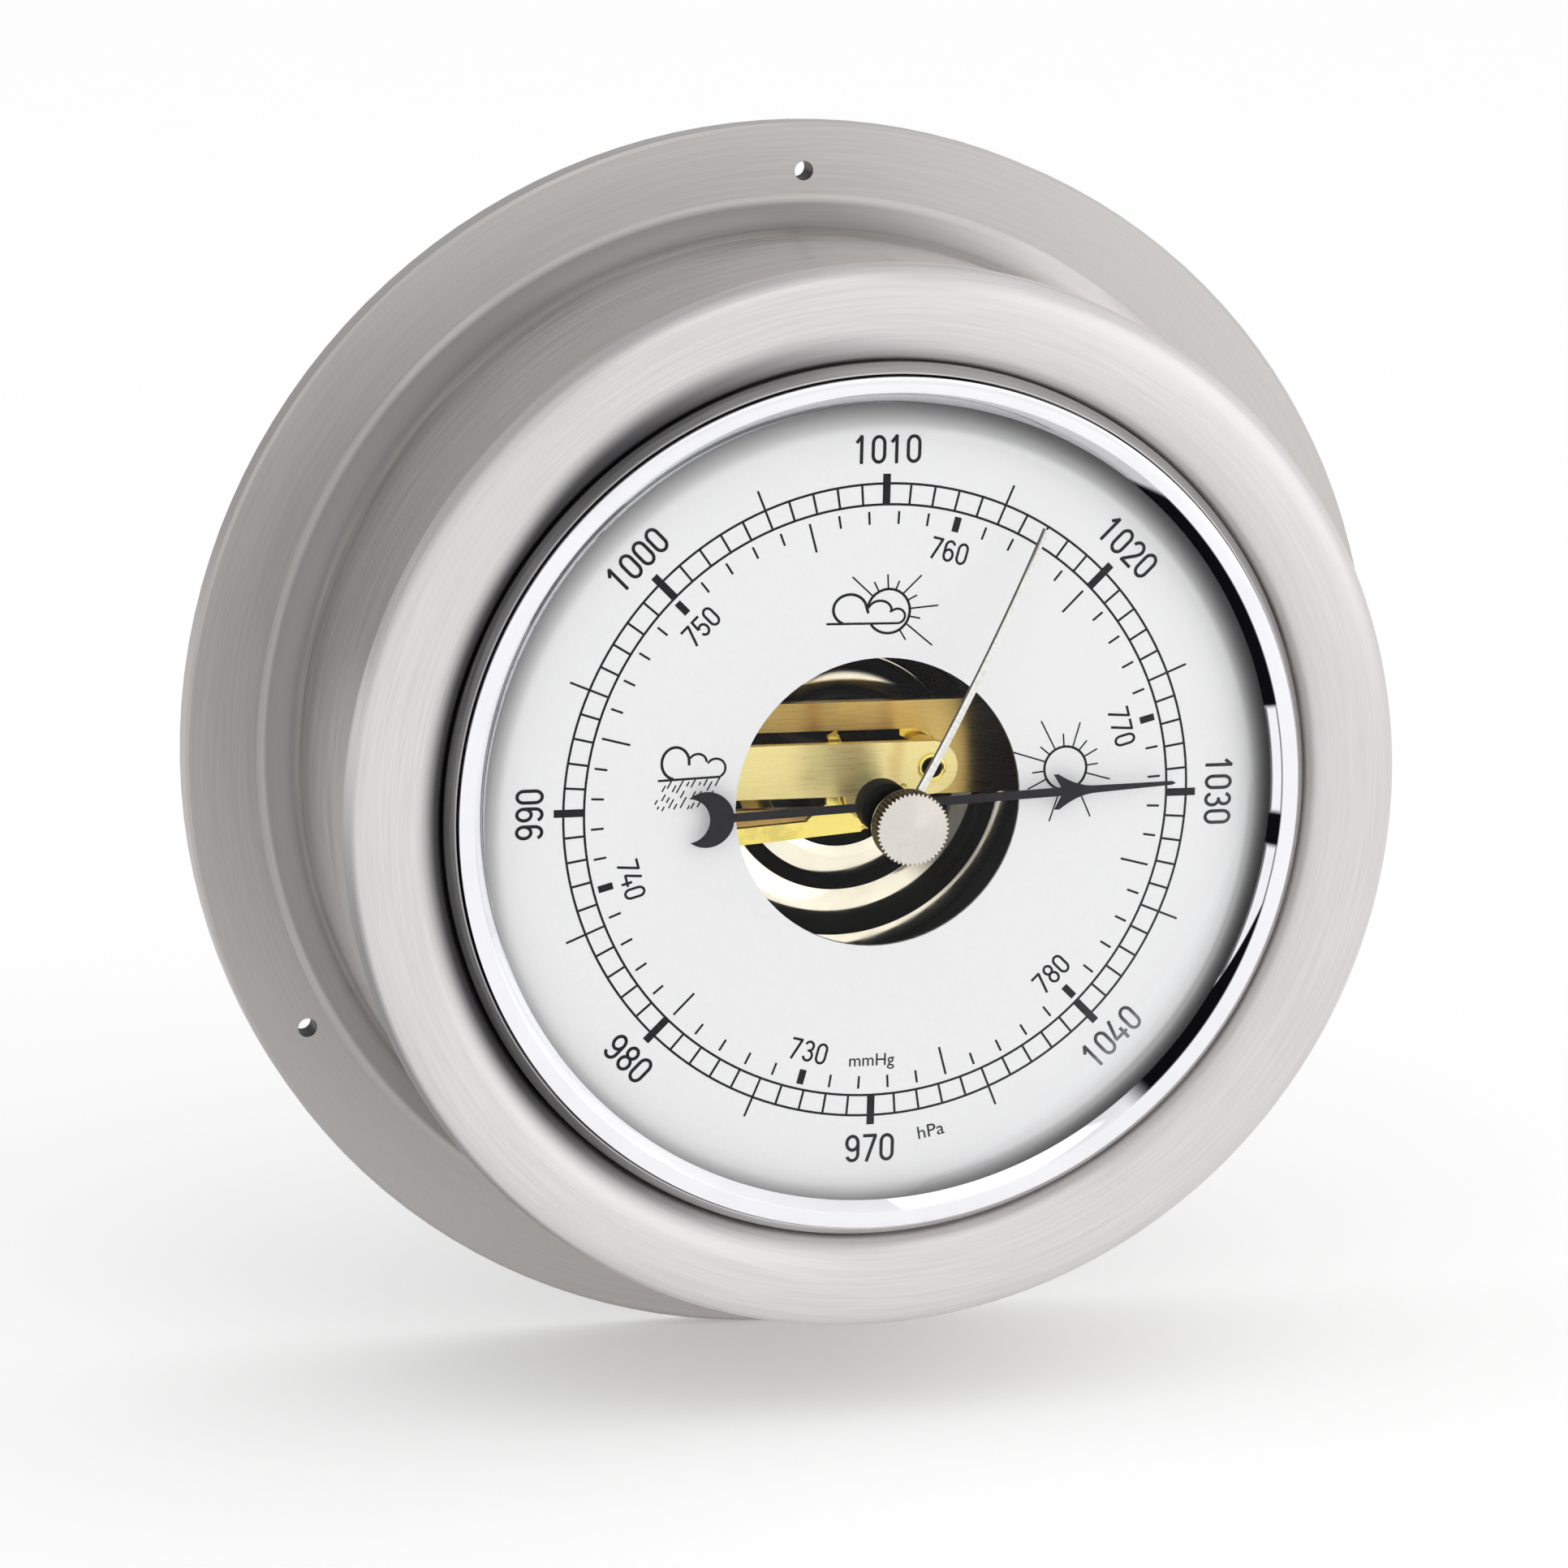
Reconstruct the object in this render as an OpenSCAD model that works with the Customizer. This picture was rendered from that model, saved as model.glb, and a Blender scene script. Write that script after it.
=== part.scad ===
// Ship's barometer in a porthole case, with an open dial over its aneroid movement.
// Millimetres, Z up, the dial looks along -Y, origin at the middle of the wall plane.

/* [Case] */
// Width of the wall flange around the barrel
flange_w = 13.3; // [12:0.1:18]
// Thickness of the wall flange
flange_t = 4.1; // [3:0.1:6]
// Bevel on the flange's front edge
flange_bevel = 0.4; // [0.2:0.1:1]
// Distance of the wall screw holes from the flange's outer edge
hole_inset = 5.8; // [3:0.1:7]
// Diameter of a wall screw hole
screw_hole_d = 2.3; // [2:0.1:4]
// Outside diameter of the barrel
barrel_d = 123.4; // [121.4:0.2:125.4]
// Wall of the barrel
barrel_wall = 2; // [1.2:0.1:2.6]
// Height of the barrel's front edge over the wall
barrel_h = 41.4; // [40:0.2:46]
// Radius of the fillet between flange and barrel
foot_fillet = 4.7; // [3:0.1:5]

/* [Bezel] */
// Overhang of the bezel past the barrel
bezel_over = 1.7; // [0.8:0.1:2.5]
// Height of the bezel's crown over the barrel's front edge
crown_h = 5.8; // [4.5:0.1:8]
// Width of the valley's inner lip at its foot
lip_w = 1.25; // [1:0.05:1.6]
// Height of the inner lip over its valley
lip_h = 3.8; // [3:0.1:4]
// Height of the lip's outer edge over its valley
lip_edge = 2.3; // [1.6:0.1:2.8]
// Depth of the skirt inside the barrel
skirt_h = 8; // [5:0.5:12]
// Wall of the skirt
skirt_wall = 2; // [1.2:0.1:2.6]

/* [Inner instrument] */
// Outside diameter of the polished ring
ring_d = 101.4; // [100.8:0.2:103]
// Height of the polished ring's face over the dial
ring_rise = 3.1; // [2.8:0.1:4]
// Width of the polished ring's flat face
ring_face = 1.8; // [1.4:0.1:2.2]
// Width of the polished ring's inner bevel
ring_bevel = 1.3; // [0.9:0.1:1.6]
// Drop of the polished ring's inner bevel
ring_drop = 1; // [0.6:0.1:1.2]
// Height of the crown of the domed glass over the dial
glass_crown = 12.1; // [11.7:0.1:14]
// Thickness of the glass
glass_t = 1.2; // [1:0.1:1.4]
// Thickness of the dial
dial_t = 0.8; // [0.5:0.1:1.2]
// Diameter of the opening in the dial
aperture_d = 34.5; // [32:0.5:38]
// Outside diameter of the can
can_d = 96.4; // [95.8:0.2:97.4]
// Wall of the can
can_wall = 0.8; // [0.6:0.1:1.2]
// Length of the posts between the base plate and the can's floor
post_h = 4.7; // [4.5:0.1:7]

/* [Pointer] */
// Reach of the pointer's tip
pointer_reach = 35.9; // [33:0.1:38]
// Angle of the pointer from the top of the dial, clockwise
pointer_angle = 87.5; // [0:0.5:350]
// Thickness of the pointer
pointer_t = 0.35; // [0.2:0.05:0.6]
// Height of the pointer's rear face over the dial
pointer_lift = 1.7; // [1.2:0.1:2.2]
// Radius of the pointer's hub
hub_r = 3.1; // [2.4:0.1:3.6]
// Height of the pointer's hub
hub_h = 3.4; // [2.6:0.1:3.8]
// Radius of the crescent on the tail
moon_r = 3.3; // [2.6:0.1:3.8]

/* [Set hand] */
// Diameter of the knurled knob
knob_d = 8.6; // [7.5:0.1:10]
// Thickness of the knurled knob
knob_t = 2.6; // [2:0.1:3.5]
// Teeth around the knob
knob_teeth = 48; // [36:1:60]
// Reach of the set hand's tip
set_reach = 37.4; // [34:0.1:38.5]
// Angle of the set hand from the top of the dial, clockwise
set_angle = 29; // [0:0.5:350]
// Thickness of the set hand
set_t = 0.5; // [0.3:0.05:0.6]
// Radius of the set spindle
spindle_r = 1; // [0.8:0.1:1.2]

/* [Movement] */
// Depth of the front bar's face behind the dial
bar_depth = 3.7; // [3.4:0.1:4]
// Thickness of the front bar
bar_t = 1; // [0.8:0.1:1.2]
// Depth of the bridge plate's face behind the dial
plate_depth = 10.7; // [10.6:0.1:11.2]
// Thickness of the bridge plate
plate_t = 1.2; // [1:0.1:1.3]
// Height of the opening in the bridge plate
slot_h = 9.3; // [9:0.1:9.6]
// Pitch radius of the toothed sector
sector_r = 29.7; // [29.7:0.15:30.6]
// Pitch radius of the pinion
pinion_r = 0.9; // [0.9:0.15:1.2]
// Module of the teeth
tooth_m = 0.15; // [0.15:0.15:0.3]
// Thickness of the toothed sector
sector_t = 0.8; // [0.6:0.1:1]
// Radius of the capsule
capsule_r = 22.5; // [20:0.5:23]
// Pitch of the capsule's corrugations
wave_pitch = 5.4; // [4:0.1:6]
// Height of the capsule's corrugations
wave_h = 1.1; // [0.6:0.1:1.4]
// Room between the capsule's rear crest and the base plate
capsule_room = 3.44; // [2.5:0.01:4.5]
// Thickness of the base plate
base_t = 1.5; // [1.2:0.1:1.8]

/* [Hidden] */

// Smoothness of round faces
$fn = 96;
// Gap between pieces that are pressed or seated on each other
seat = 0.02;
// Running clearance of pivots and spindles
run = 0.05;
// Clearance between pieces that pass each other
pass = 0.3;
// Margin by which a cutter runs past the face that it cuts
cut = 1;

// Radii of the case and the bezel
barrel_r = barrel_d / 2;
flange_r = barrel_r + flange_w;
hole_ring = flange_r - hole_inset;
hole_angles = [90, 210, 330];
bezel_r = barrel_r + bezel_over;
skirt_gap = 0.1;
skirt_r = barrel_r - barrel_wall - skirt_gap;

// Radii and heights of the inner instrument, the dial's face lies in front of the bezel's ledge
ring_r = ring_d / 2;
ring_wall = 0.7;
ring_round = 0.1;
ring_web = 0.05;
lip_gap = 0.2;
lip_bore_r = ring_r + lip_gap;
valley_r = lip_bore_r + lip_w;
lip_draft = 0.1;
lip_land = 0.16;
valley_rise = 0.9;
ledge_drop = 0.1;
valley_h = barrel_h + valley_rise;
ledge_h = valley_h - ledge_drop;
ledge_t = 1.6;
crown_rise = crown_h - valley_rise;
outer_full = 3.6;
inner_full = 2.3;
dial_h = ledge_h + can_wall + dial_t;
view_r = ring_r - ring_face - ring_bevel;
rim_gap = 0.1;
rim_r = ring_r - ring_wall - rim_gap;
can_r = can_d / 2;

// The dome meets the polished ring's bevel at its lower edge
dome_gap = 0.05;
dome_drop = glass_crown - ring_rise + ring_drop + dome_gap;
dome_r = (view_r * view_r + dome_drop * dome_drop) / (2 * dome_drop);
dome_z = glass_crown - dome_r;
seal_w = 0.8;
seal_h = 1.3;
bush_wall = 0.95;
glass_r = rim_r - seal_w;
glass_hole_r = spindle_r + run + bush_wall;
under_z = glass_crown - glass_t;

// Shape of the pointer
blade_w = 1;
barb_at = 21.5;
barb_w = 2.1;
barb_cut = 0.6;
head_l = 4.6;
needle_w = 0.42;
moon_at = 21.2;
moon_shift = 0.67;
moon_bite = 0.8;
hub_foot = 0.9;
hub_edge = 0.6;
hub_wall = 0.6;

// Set hand and knob
bush_flange_r = knob_d / 2;
bush_flange_t = 0.25;
bush_z = glass_crown;
knob_gap = 0.1;
knurl_h = 0.3;
cone_h = 0.3;
knurl_land = 0.12;
knob_z = bush_z + bush_flange_t + knob_gap;
set_boss_r = 2.4;
set_boss_h = 0.5;
boss_gap = 0.15;
set_boss_z = under_z - 2 * boss_gap - set_boss_h;
set_bend_r = dome_r - glass_t;
set_drop = 0.35;
spindle_foot = 0.45;
set_root_w = 1.1;
set_tip_w = 0.6;

// Levels of the movement, counted from the dial's face
bar_z = -bar_depth - bar_t;
plate_z = -plate_depth - plate_t;
sector_gap = 0.9;
sector_z = bar_z - sector_gap - sector_t;
cock_t = 1;
cock_z = plate_z - cock_t;
lever_t = 0.6;
lever_gap = 0.8;
lever_z = cock_z - lever_gap - lever_t;
push_gap = 0.06;
push_r = 1;
push_h = 0.6;
push_foot_r = 3;
boss_t = 0.6;
crest_z = lever_z - push_gap - push_h - boss_t;
disc_t = 0.3;
rim_t = 0.6;
wave_low = 1.95;
wave_knots = [[0, 0], [0.9, 0], [1.685, 1.45], [2.26, 1.09], [2.685, wave_low], [3.2, 1.23], [3.69, 1.36], [4.5, 1.2]];
skin_gap = 0.555;
flat_rim_w = 1.8;
capsule_half = wave_low * wave_h + disc_t + skin_gap;
capsule_mid_z = crest_z - capsule_half;
rear_crest_z = capsule_mid_z - capsule_half;
base_top = rear_crest_z - capsule_room;
base_z = base_top - base_t;
floor_z = base_z - post_h;
hub_gap = 1.1;
rock_hub_r = 1.9;
shaft_z = base_top + rock_hub_r + hub_gap;

// Toothed sector: its pivot lies on the line from the pinion, a whole number of teeth away
mesh_angle = 13;
centre_gap = sector_r + pinion_r;
pivot_x = -centre_gap * cos(mesh_angle);
pivot_y = -centre_gap * sin(mesh_angle);
sector_teeth = round(2 * sector_r / tooth_m);
pinion_teeth = round(2 * pinion_r / tooth_m);
sector_low = 4.7;
sector_high = 28.6;
tail_r = 2;
tail_pin_r = 0.35;
tail_pin_h = 2;
pivot_r = 0.4;
sector_arbor_r = 0.8;
sector_hub_r = 1.5;
collar_h = 0.5;
tail_boss_r = 1.1;
tooth_root = 1.3;
band_w = 4.6;
band_margin = 0.5;
heel_h = 3.6;
heel_w = 2.4;
heel_low = 1.6;
arm_high = 2;
arm_short = 0.7;
arm_low = 1;
pinion_arbor_r = 0.5;
pinion_over = 0.3;
collet_h = 1.1;
hub_cap = 1.2;

// Front bar and bridge plate, seen from the front
bar_w = 6.4;
bar_y = 3.15;
rivet_x = 7.5;
bar_end_r = bar_w / 2;
bar_over = 7.2;
bar_left = pivot_x - bar_over;
lobe_r = 3;
foot_r = 3;
bar_pillar_off = 4.2;
bar_pillar_x = pivot_x - bar_pillar_off;
slot_y = 1.75;
slot_r = slot_h / 2;
slot_right = 6.5;
slot_off = 6.8;
slot_left = pivot_x + slot_off;
plate_top = 9.85;
plate_over = 9.7;
plate_left = pivot_x - plate_over;
plate_foot_w = 14.6;
strip_right = 3;
plate_right = 31;
strip_w = 2.7;
strip_low = slot_y - slot_r - strip_w;
plate_low = -1.6;
foot_low = -11.6;
rivet_bore_r = 1.15;
rivet_r = 1.4;
rivet_lip_r = 1.75;
rivet_lip_t = 0.25;
spacer_r = 2.8;

// Pillars, posts and screws
pillar_r = 2.2;
pillar_left = 3;
pillar_right = 3.5;
pillar_high = 6.9;
pillar_low = -8.6;
pillar_mid = 4.2;
bridge_pillar_at = [
    [plate_left + pillar_left, pillar_high],
    [plate_left + pillar_left, pillar_low],
    [plate_right - pillar_right, pillar_mid]];
post_r = 3;
base_rim = 2.1;
base_r = norm(bridge_pillar_at[1]) + pillar_r + base_rim;
post_rim = 0.8;
post_ring = base_r - post_r - post_rim;
post_angles = [90, 225, 325];
screw_r = 0.9;
screw_bite = 4;
screw_tip = 0.4;
blind_t = 0.35;
head_r = 1.9;
head_t = 1.1;
drive_w = 0.5;
drive_h = 0.5;
cock_head_r = 1.5;
cock_head_t = 0.8;
cock_left = 5.8;
cock_right = 17;
cock_high = 7.2;
cock_tongue = 2.2;
cock_screw_in = 3;
cock_screw_low = 0.6;
cock_screw_high = 5.2;
cock_screw_at = [
    [cock_right - cock_screw_in, cock_screw_low],
    [cock_right - cock_screw_in, cock_screw_high]];

// Clips that hold the can in the bezel
clip_angles = [30, 150, 270];
clip_w = 8;
clip_t = 1.2;
clip_leg = 9;
clip_gap = 2.8;
clip_reach = skirt_r - skirt_wall - can_r - clip_gap;
clip_drop = 5;
clip_screw_r = 1.2;
clip_bite = 1.4;
clip_head_r = 2.2;
clip_head_t = 1.2;

// Rocking shaft and its brackets
rock_r = 1;
rock_pivot_r = 0.5;
rock_low = -15.2;
rock_high = 8.4;
lug_t = 1.2;
lug_w = 5;
lug_foot = 4.6;
fork_t = 1;
fork_w = 3.2;
fork_y = pivot_y - tail_r;
fork_gap = 0.9;
fork_top_z = sector_z - fork_gap;
lever_w = 3;
lever_past = 1.6;
hub_skin = 0.1;
fork_mouth = 2.4;

// Zero screw at the back
zero_r = 2;
zero_head_r = 3.4;
zero_slot_w = 0.8;
zero_slot_h = 1;
zero_head_h = 2.2;
zero_proud = 0.6;
socket_r = 3.3;
socket_depth = 1.4;
zero_tip_z = rear_crest_z - socket_depth;

// Turns a piece drawn flat, with its height over the wall upwards, to face along -Y
module on_wall() {
    rotate([90, 0, 0]) children();
}

// The same for a piece whose heights are counted from the dial's face
module on_dial() {
    rotate([90, 0, 0]) translate([0, 0, dial_h]) children();
}

// A flat ring with its lower face at z
module ring(outer, inner, z, h) {
    translate([0, 0, z])
        difference() {
            cylinder(r = outer, h = h);
            translate([0, 0, -cut]) cylinder(r = inner, h = h + 2 * cut);
        }
}

// A hole through a plate between z and z + h
module hole(r, z, h) {
    translate([0, 0, z - cut]) cylinder(r = r, h = h + 2 * cut);
}

// A slotted cheese-head screw, its head stands on z and its shank hangs below
module cheese_screw(shank_r, shank_h, r, h) {
    translate([0, 0, -shank_h]) cylinder(r = shank_r, h = shank_h + h / 2, $fn = 32);
    difference() {
        cylinder(r = r, h = h, $fn = 48);
        translate([-r - cut, -drive_w / 2, h - drive_h]) cube([2 * (r + cut), drive_w, drive_h + cut]);
    }
}

// Wall flange, fillet and barrel
module case_shell() {
    color([0.72, 0.71, 0.69])
        on_wall()
            difference() {
                rotate_extrude($fn = 180)
                    difference() {
                        union() {
                            polygon([
                                [0, 0],
                                [flange_r, 0],
                                [flange_r, flange_t - flange_bevel],
                                [flange_r - flange_bevel, flange_t],
                                [0, flange_t]]);
                            square([barrel_r, barrel_h]);
                            difference() {
                                square([barrel_r + foot_fillet, flange_t + foot_fillet]);
                                translate([barrel_r + foot_fillet, flange_t + foot_fillet])
                                    circle(r = foot_fillet, $fn = 96);
                            }
                        }
                        translate([0, -cut]) square([barrel_r - barrel_wall, barrel_h + 2 * cut]);
                    }
                for (a = hole_angles)
                    rotate([0, 0, a])
                        translate([hole_ring, 0, -cut])
                            cylinder(d = screw_hole_d, h = flange_t + 2 * cut, $fn = 48);
            }
}

// Points of one side of the bezel's crown, a rounded arch with its own fullness
function crown_side(mid, half, base, rise, power, from, to) = [
    for (i = [0 : 12])
        let (a = from + (to - from) * i / 12)
            [mid + half * sign(cos(a)) * pow(abs(cos(a)), 2 / power),
                base + rise * pow(abs(sin(a)), 2 / power)]];

// Rounded front ring with its valley, inner lip, ledge and skirt
module front_bezel() {
    crown_mid = (bezel_r + valley_r) / 2;
    crown_half = (bezel_r - valley_r) / 2;
    color([0.82, 0.82, 0.81])
        on_wall()
            rotate_extrude($fn = 180)
                union() {
                    polygon(concat(
                        [[valley_r, ledge_h - ledge_t],
                            [skirt_r, ledge_h - ledge_t],
                            [skirt_r, barrel_h + seat],
                            [bezel_r, barrel_h + seat]],
                        crown_side(crown_mid, crown_half, valley_h, crown_rise, outer_full, 0, 90),
                        crown_side(crown_mid, crown_half, valley_h, crown_rise, inner_full, 90, 180)));
                    polygon([
                        [can_r + pass, ledge_h - ledge_t],
                        [skirt_r, ledge_h - ledge_t],
                        [skirt_r, barrel_h + seat],
                        [valley_r, valley_h],
                        [valley_r - lip_draft, valley_h + lip_edge],
                        [lip_bore_r + lip_land, valley_h + lip_h],
                        [lip_bore_r, valley_h + lip_h],
                        [lip_bore_r, ledge_h],
                        [can_r + pass, ledge_h]]);
                    translate([skirt_r - skirt_wall, barrel_h - skirt_h])
                        square([skirt_wall, skirt_h]);
                }
}

// Polished ring that closes the inner instrument over the glass
module chrome_ring() {
    flat_r = ring_r - ring_face;
    under = ring_rise - ring_drop - ring_web;
    color([0.9, 0.9, 0.92])
        on_dial()
            rotate_extrude($fn = 180)
                polygon([
                    [view_r, under],
                    [view_r, ring_rise - ring_drop],
                    [flat_r, ring_rise],
                    [ring_r - ring_round, ring_rise],
                    [ring_r, ring_rise - ring_round],
                    [ring_r, ledge_h - dial_h],
                    [ring_r - ring_wall, ledge_h - dial_h],
                    [ring_r - ring_wall, under]]);
}

// Domed glass, a spherical shell with the spindle's hole
module glass() {
    color([0.85, 0.92, 0.95, 0.3])
        on_dial()
            difference() {
                rotate_extrude($fn = 180)
                    intersection() {
                        difference() {
                            translate([0, dome_z]) circle(r = dome_r, $fn = 360);
                            translate([0, dome_z]) circle(r = dome_r - glass_t, $fn = 360);
                        }
                        translate([0, seat]) square([glass_r, glass_crown + cut]);
                    }
                hole(glass_hole_r, under_z, glass_t);
            }
}

// Soft ring between the glass and the polished ring's wall
module glass_seal() {
    color([0.12, 0.12, 0.12])
        on_dial() ring(ring_r - ring_wall - seat, glass_r + seat, seat, seal_h);
}

// Flanged bush in the glass for the spindle
module glass_bush() {
    color([0.7, 0.68, 0.64])
        on_dial() {
            difference() {
                union() {
                    translate([0, 0, bush_z]) cylinder(r = bush_flange_r, h = bush_flange_t);
                    translate([0, 0, under_z]) cylinder(r = glass_hole_r - seat, h = glass_t + bush_flange_t);
                }
                hole(spindle_r + run, under_z, glass_t + bush_flange_t);
            }
        }
}

// White dial with its round opening
module dial() {
    color([0.94, 0.94, 0.94])
        on_dial() ring(rim_r, aperture_d / 2, -dial_t, dial_t);
}

// Drawn cup of the inner instrument, with its turned-out rim and a hole for the zero screw
module instrument_can() {
    color([0.2, 0.2, 0.21])
        on_dial()
            difference() {
                union() {
                    rotate_extrude($fn = 180)
                        union() {
                            translate([zero_head_r + pass, floor_z - can_wall])
                                square([can_r - zero_head_r - pass, can_wall]);
                            translate([can_r - can_wall, floor_z - can_wall])
                                square([can_wall, -dial_t - floor_z + can_wall]);
                            translate([can_r - can_wall, -dial_t - can_wall])
                                square([rim_r - can_r + can_wall, can_wall]);
                        }
                }
                for (a = clip_angles)
                    rotate([0, 0, a])
                        translate([can_r - 2 * can_wall, 0, clip_mid_z()])
                            rotate([0, 90, 0]) cylinder(r = clip_screw_r + run, h = 3 * can_wall, $fn = 32);
            }
}

// Height of the clip screws, counted from the dial's face
function clip_mid_z() = ledge_h - ledge_t - dial_h - clip_drop;

// Three clips on the can that grip the bezel's ledge from behind
module retaining_clips() {
    top = ledge_h - ledge_t - dial_h;
    color([0.6, 0.6, 0.6])
        on_dial()
            for (a = clip_angles)
                rotate([0, 0, a])
                    difference() {
                        union() {
                            translate([can_r + seat, -clip_w / 2, top - clip_leg])
                                cube([clip_t, clip_w, clip_leg - seat]);
                            translate([can_r + seat, -clip_w / 2, top - clip_t])
                                cube([clip_reach, clip_w, clip_t - seat]);
                        }
                        translate([can_r - cut, 0, clip_mid_z()])
                            rotate([0, 90, 0]) cylinder(r = clip_screw_r + run, h = clip_t + 2 * cut, $fn = 32);
                    }
}

// Screws of the clips
module clip_screws() {
    color([0.75, 0.75, 0.75])
        on_dial()
            for (a = clip_angles)
                rotate([0, 0, a])
                    translate([can_r + clip_t + 2 * seat, 0, clip_mid_z()])
                        rotate([0, 90, 0])
                            cheese_screw(clip_screw_r, clip_t + can_wall + clip_bite, clip_head_r, clip_head_t);
}

// Posts between the can's floor and the base plate
module plate_posts() {
    color([0.75, 0.6, 0.3])
        on_dial()
            for (a = post_angles)
                rotate([0, 0, a])
                    translate([post_ring, 0, floor_z])
                        difference() {
                            cylinder(r = post_r, h = base_z - floor_z, $fn = 48);
                            translate([0, 0, base_z - floor_z - screw_bite])
                                cylinder(r = screw_r + run, h = screw_bite + cut, $fn = 32);
                        }
}

// Round plate that carries the movement
module base_plate() {
    color([0.78, 0.64, 0.32])
        on_dial()
            difference() {
                translate([0, 0, base_z]) cylinder(r = base_r, h = base_t);
                hole(zero_r + run, base_z, base_t);
                for (a = post_angles)
                    rotate([0, 0, a])
                        translate([post_ring, 0, 0]) hole(screw_r + run, base_z, base_t, $fn = 32);
                for (p = bridge_pillar_at)
                    translate([p[0], p[1], 0]) hole(screw_r + seat, base_z, base_t, $fn = 32);
                for (p = bracket_screw_at())
                    translate([p[0], p[1], 0]) hole(screw_r + run, base_z, base_t, $fn = 32);
            }
}

// Screws that hold the base plate on its posts
module base_screws() {
    color([0.8, 0.72, 0.5])
        on_dial()
            for (a = post_angles)
                rotate([0, 0, a])
                    translate([post_ring, 0, base_z + base_t])
                        cheese_screw(screw_r, base_t + screw_bite - screw_tip, head_r, head_t);
}

// Pillars between the base plate and the bridge plate
module bridge_pillars() {
    color([0.8, 0.66, 0.34])
        on_dial()
            for (p = bridge_pillar_at)
                translate([p[0], p[1], 0])
                    difference() {
                        union() {
                            translate([0, 0, base_z + base_t])
                                cylinder(r = pillar_r, h = plate_z - base_z - base_t, $fn = 48);
                            translate([0, 0, base_z]) cylinder(r = screw_r, h = base_t + cut, $fn = 32);
                        }
                        translate([0, 0, plate_z - screw_bite])
                            cylinder(r = screw_r + run, h = screw_bite + cut, $fn = 32);
                    }
}

// Outline of the bridge plate, a wide strip with a foot at the left
module bridge_outline() {
    difference() {
        union() {
            translate([plate_left, plate_low]) square([plate_right - plate_left, plate_top - plate_low]);
            translate([plate_left, strip_low]) square([strip_right - plate_left, plate_top - strip_low]);
            translate([plate_left, foot_low]) square([plate_foot_w, plate_top - foot_low]);
        }
        translate([slot_right, slot_y]) circle(r = slot_r);
        translate([slot_left, slot_y]) circle(r = slot_r);
        translate([slot_left, slot_y - slot_r]) square([slot_right - slot_left, slot_h]);
    }
}

// Bridge plate with its long round-ended opening
module bridge_plate() {
    color([0.66, 0.52, 0.3])
        on_dial()
            difference() {
                translate([0, 0, plate_z]) linear_extrude(plate_t) bridge_outline();
                for (p = bridge_pillar_at)
                    translate([p[0], p[1], 0]) hole(screw_r + run, plate_z, plate_t, $fn = 32);
                for (p = cock_screw_at)
                    translate([p[0], p[1], plate_z - cut])
                        cylinder(r = screw_r + run, h = cut + plate_t - blind_t, $fn = 32);
                translate([bar_pillar_x, bar_y, 0]) hole(screw_r + seat, plate_z, plate_t, $fn = 32);
                translate([pivot_x, pivot_y, 0]) hole(pivot_r + run, plate_z, plate_t, $fn = 32);
                translate([pivot_x - fork_w / 2 - 3 * pass, fork_y - fork_t / 2 - pass, plate_z - cut])
                    cube([fork_w + 6 * pass, fork_t + 2 * pass, plate_t + 2 * cut]);
            }
}

// Screws of the bridge plate
module bridge_screws() {
    color([0.8, 0.72, 0.5])
        on_dial()
            for (p = bridge_pillar_at)
                translate([p[0], p[1], -plate_depth])
                    cheese_screw(screw_r, plate_t + screw_bite - screw_tip, head_r, head_t);
}

// Bright bar over the opening, with a lobe for the pinion and a foot for the sector
module front_bar() {
    color([0.88, 0.77, 0.45])
        on_dial()
            difference() {
                translate([0, 0, bar_z])
                    linear_extrude(bar_t)
                        union() {
                            translate([rivet_x, bar_y]) circle(r = bar_end_r);
                            translate([bar_left, bar_y - bar_end_r]) square([rivet_x - bar_left, bar_w]);
                            circle(r = lobe_r);
                            translate([pivot_x, pivot_y]) circle(r = foot_r);
                            translate([pivot_x - foot_r, pivot_y]) square([2 * foot_r, bar_y - pivot_y]);
                        }
                hole(pivot_r + run, bar_z, bar_t, $fn = 32);
                translate([rivet_x, bar_y, 0]) hole(rivet_r + seat, bar_z, bar_t, $fn = 48);
                translate([pivot_x, pivot_y, 0]) hole(pivot_r + run, bar_z, bar_t, $fn = 32);
                translate([bar_pillar_x, bar_y, 0]) hole(screw_r + run, bar_z, bar_t, $fn = 32);
                translate([hair_stud()[0], hair_stud()[1], 0]) hole(stud_r() + seat, bar_z, bar_t, $fn = 24);
            }
}

// Collar under the bar's round end
module bar_spacer() {
    color([0.8, 0.62, 0.25])
        on_dial()
            translate([rivet_x, bar_y, 0]) ring(spacer_r, rivet_r + seat, plate_z, bar_z - plate_z);
}

// Hollow rivet through bar, collar and cock, with a rolled lip at the front
module tubular_rivet() {
    color([0.85, 0.7, 0.3])
        on_dial()
            translate([rivet_x, bar_y, 0]) {
                difference() {
                    union() {
                        translate([0, 0, cock_z - rivet_lip_t])
                            cylinder(r = rivet_r, h = -bar_depth - cock_z + 2 * rivet_lip_t, $fn = 48);
                        translate([0, 0, -bar_depth]) cylinder(r = rivet_lip_r, h = rivet_lip_t, $fn = 48);
                        translate([0, 0, cock_z - rivet_lip_t])
                            cylinder(r = rivet_lip_r, h = rivet_lip_t, $fn = 48);
                    }
                    translate([0, 0, cock_z - rivet_lip_t - cut])
                        cylinder(r = rivet_bore_r, h = -cock_z + 2 * cut, $fn = 48);
                }
            }
}

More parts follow.
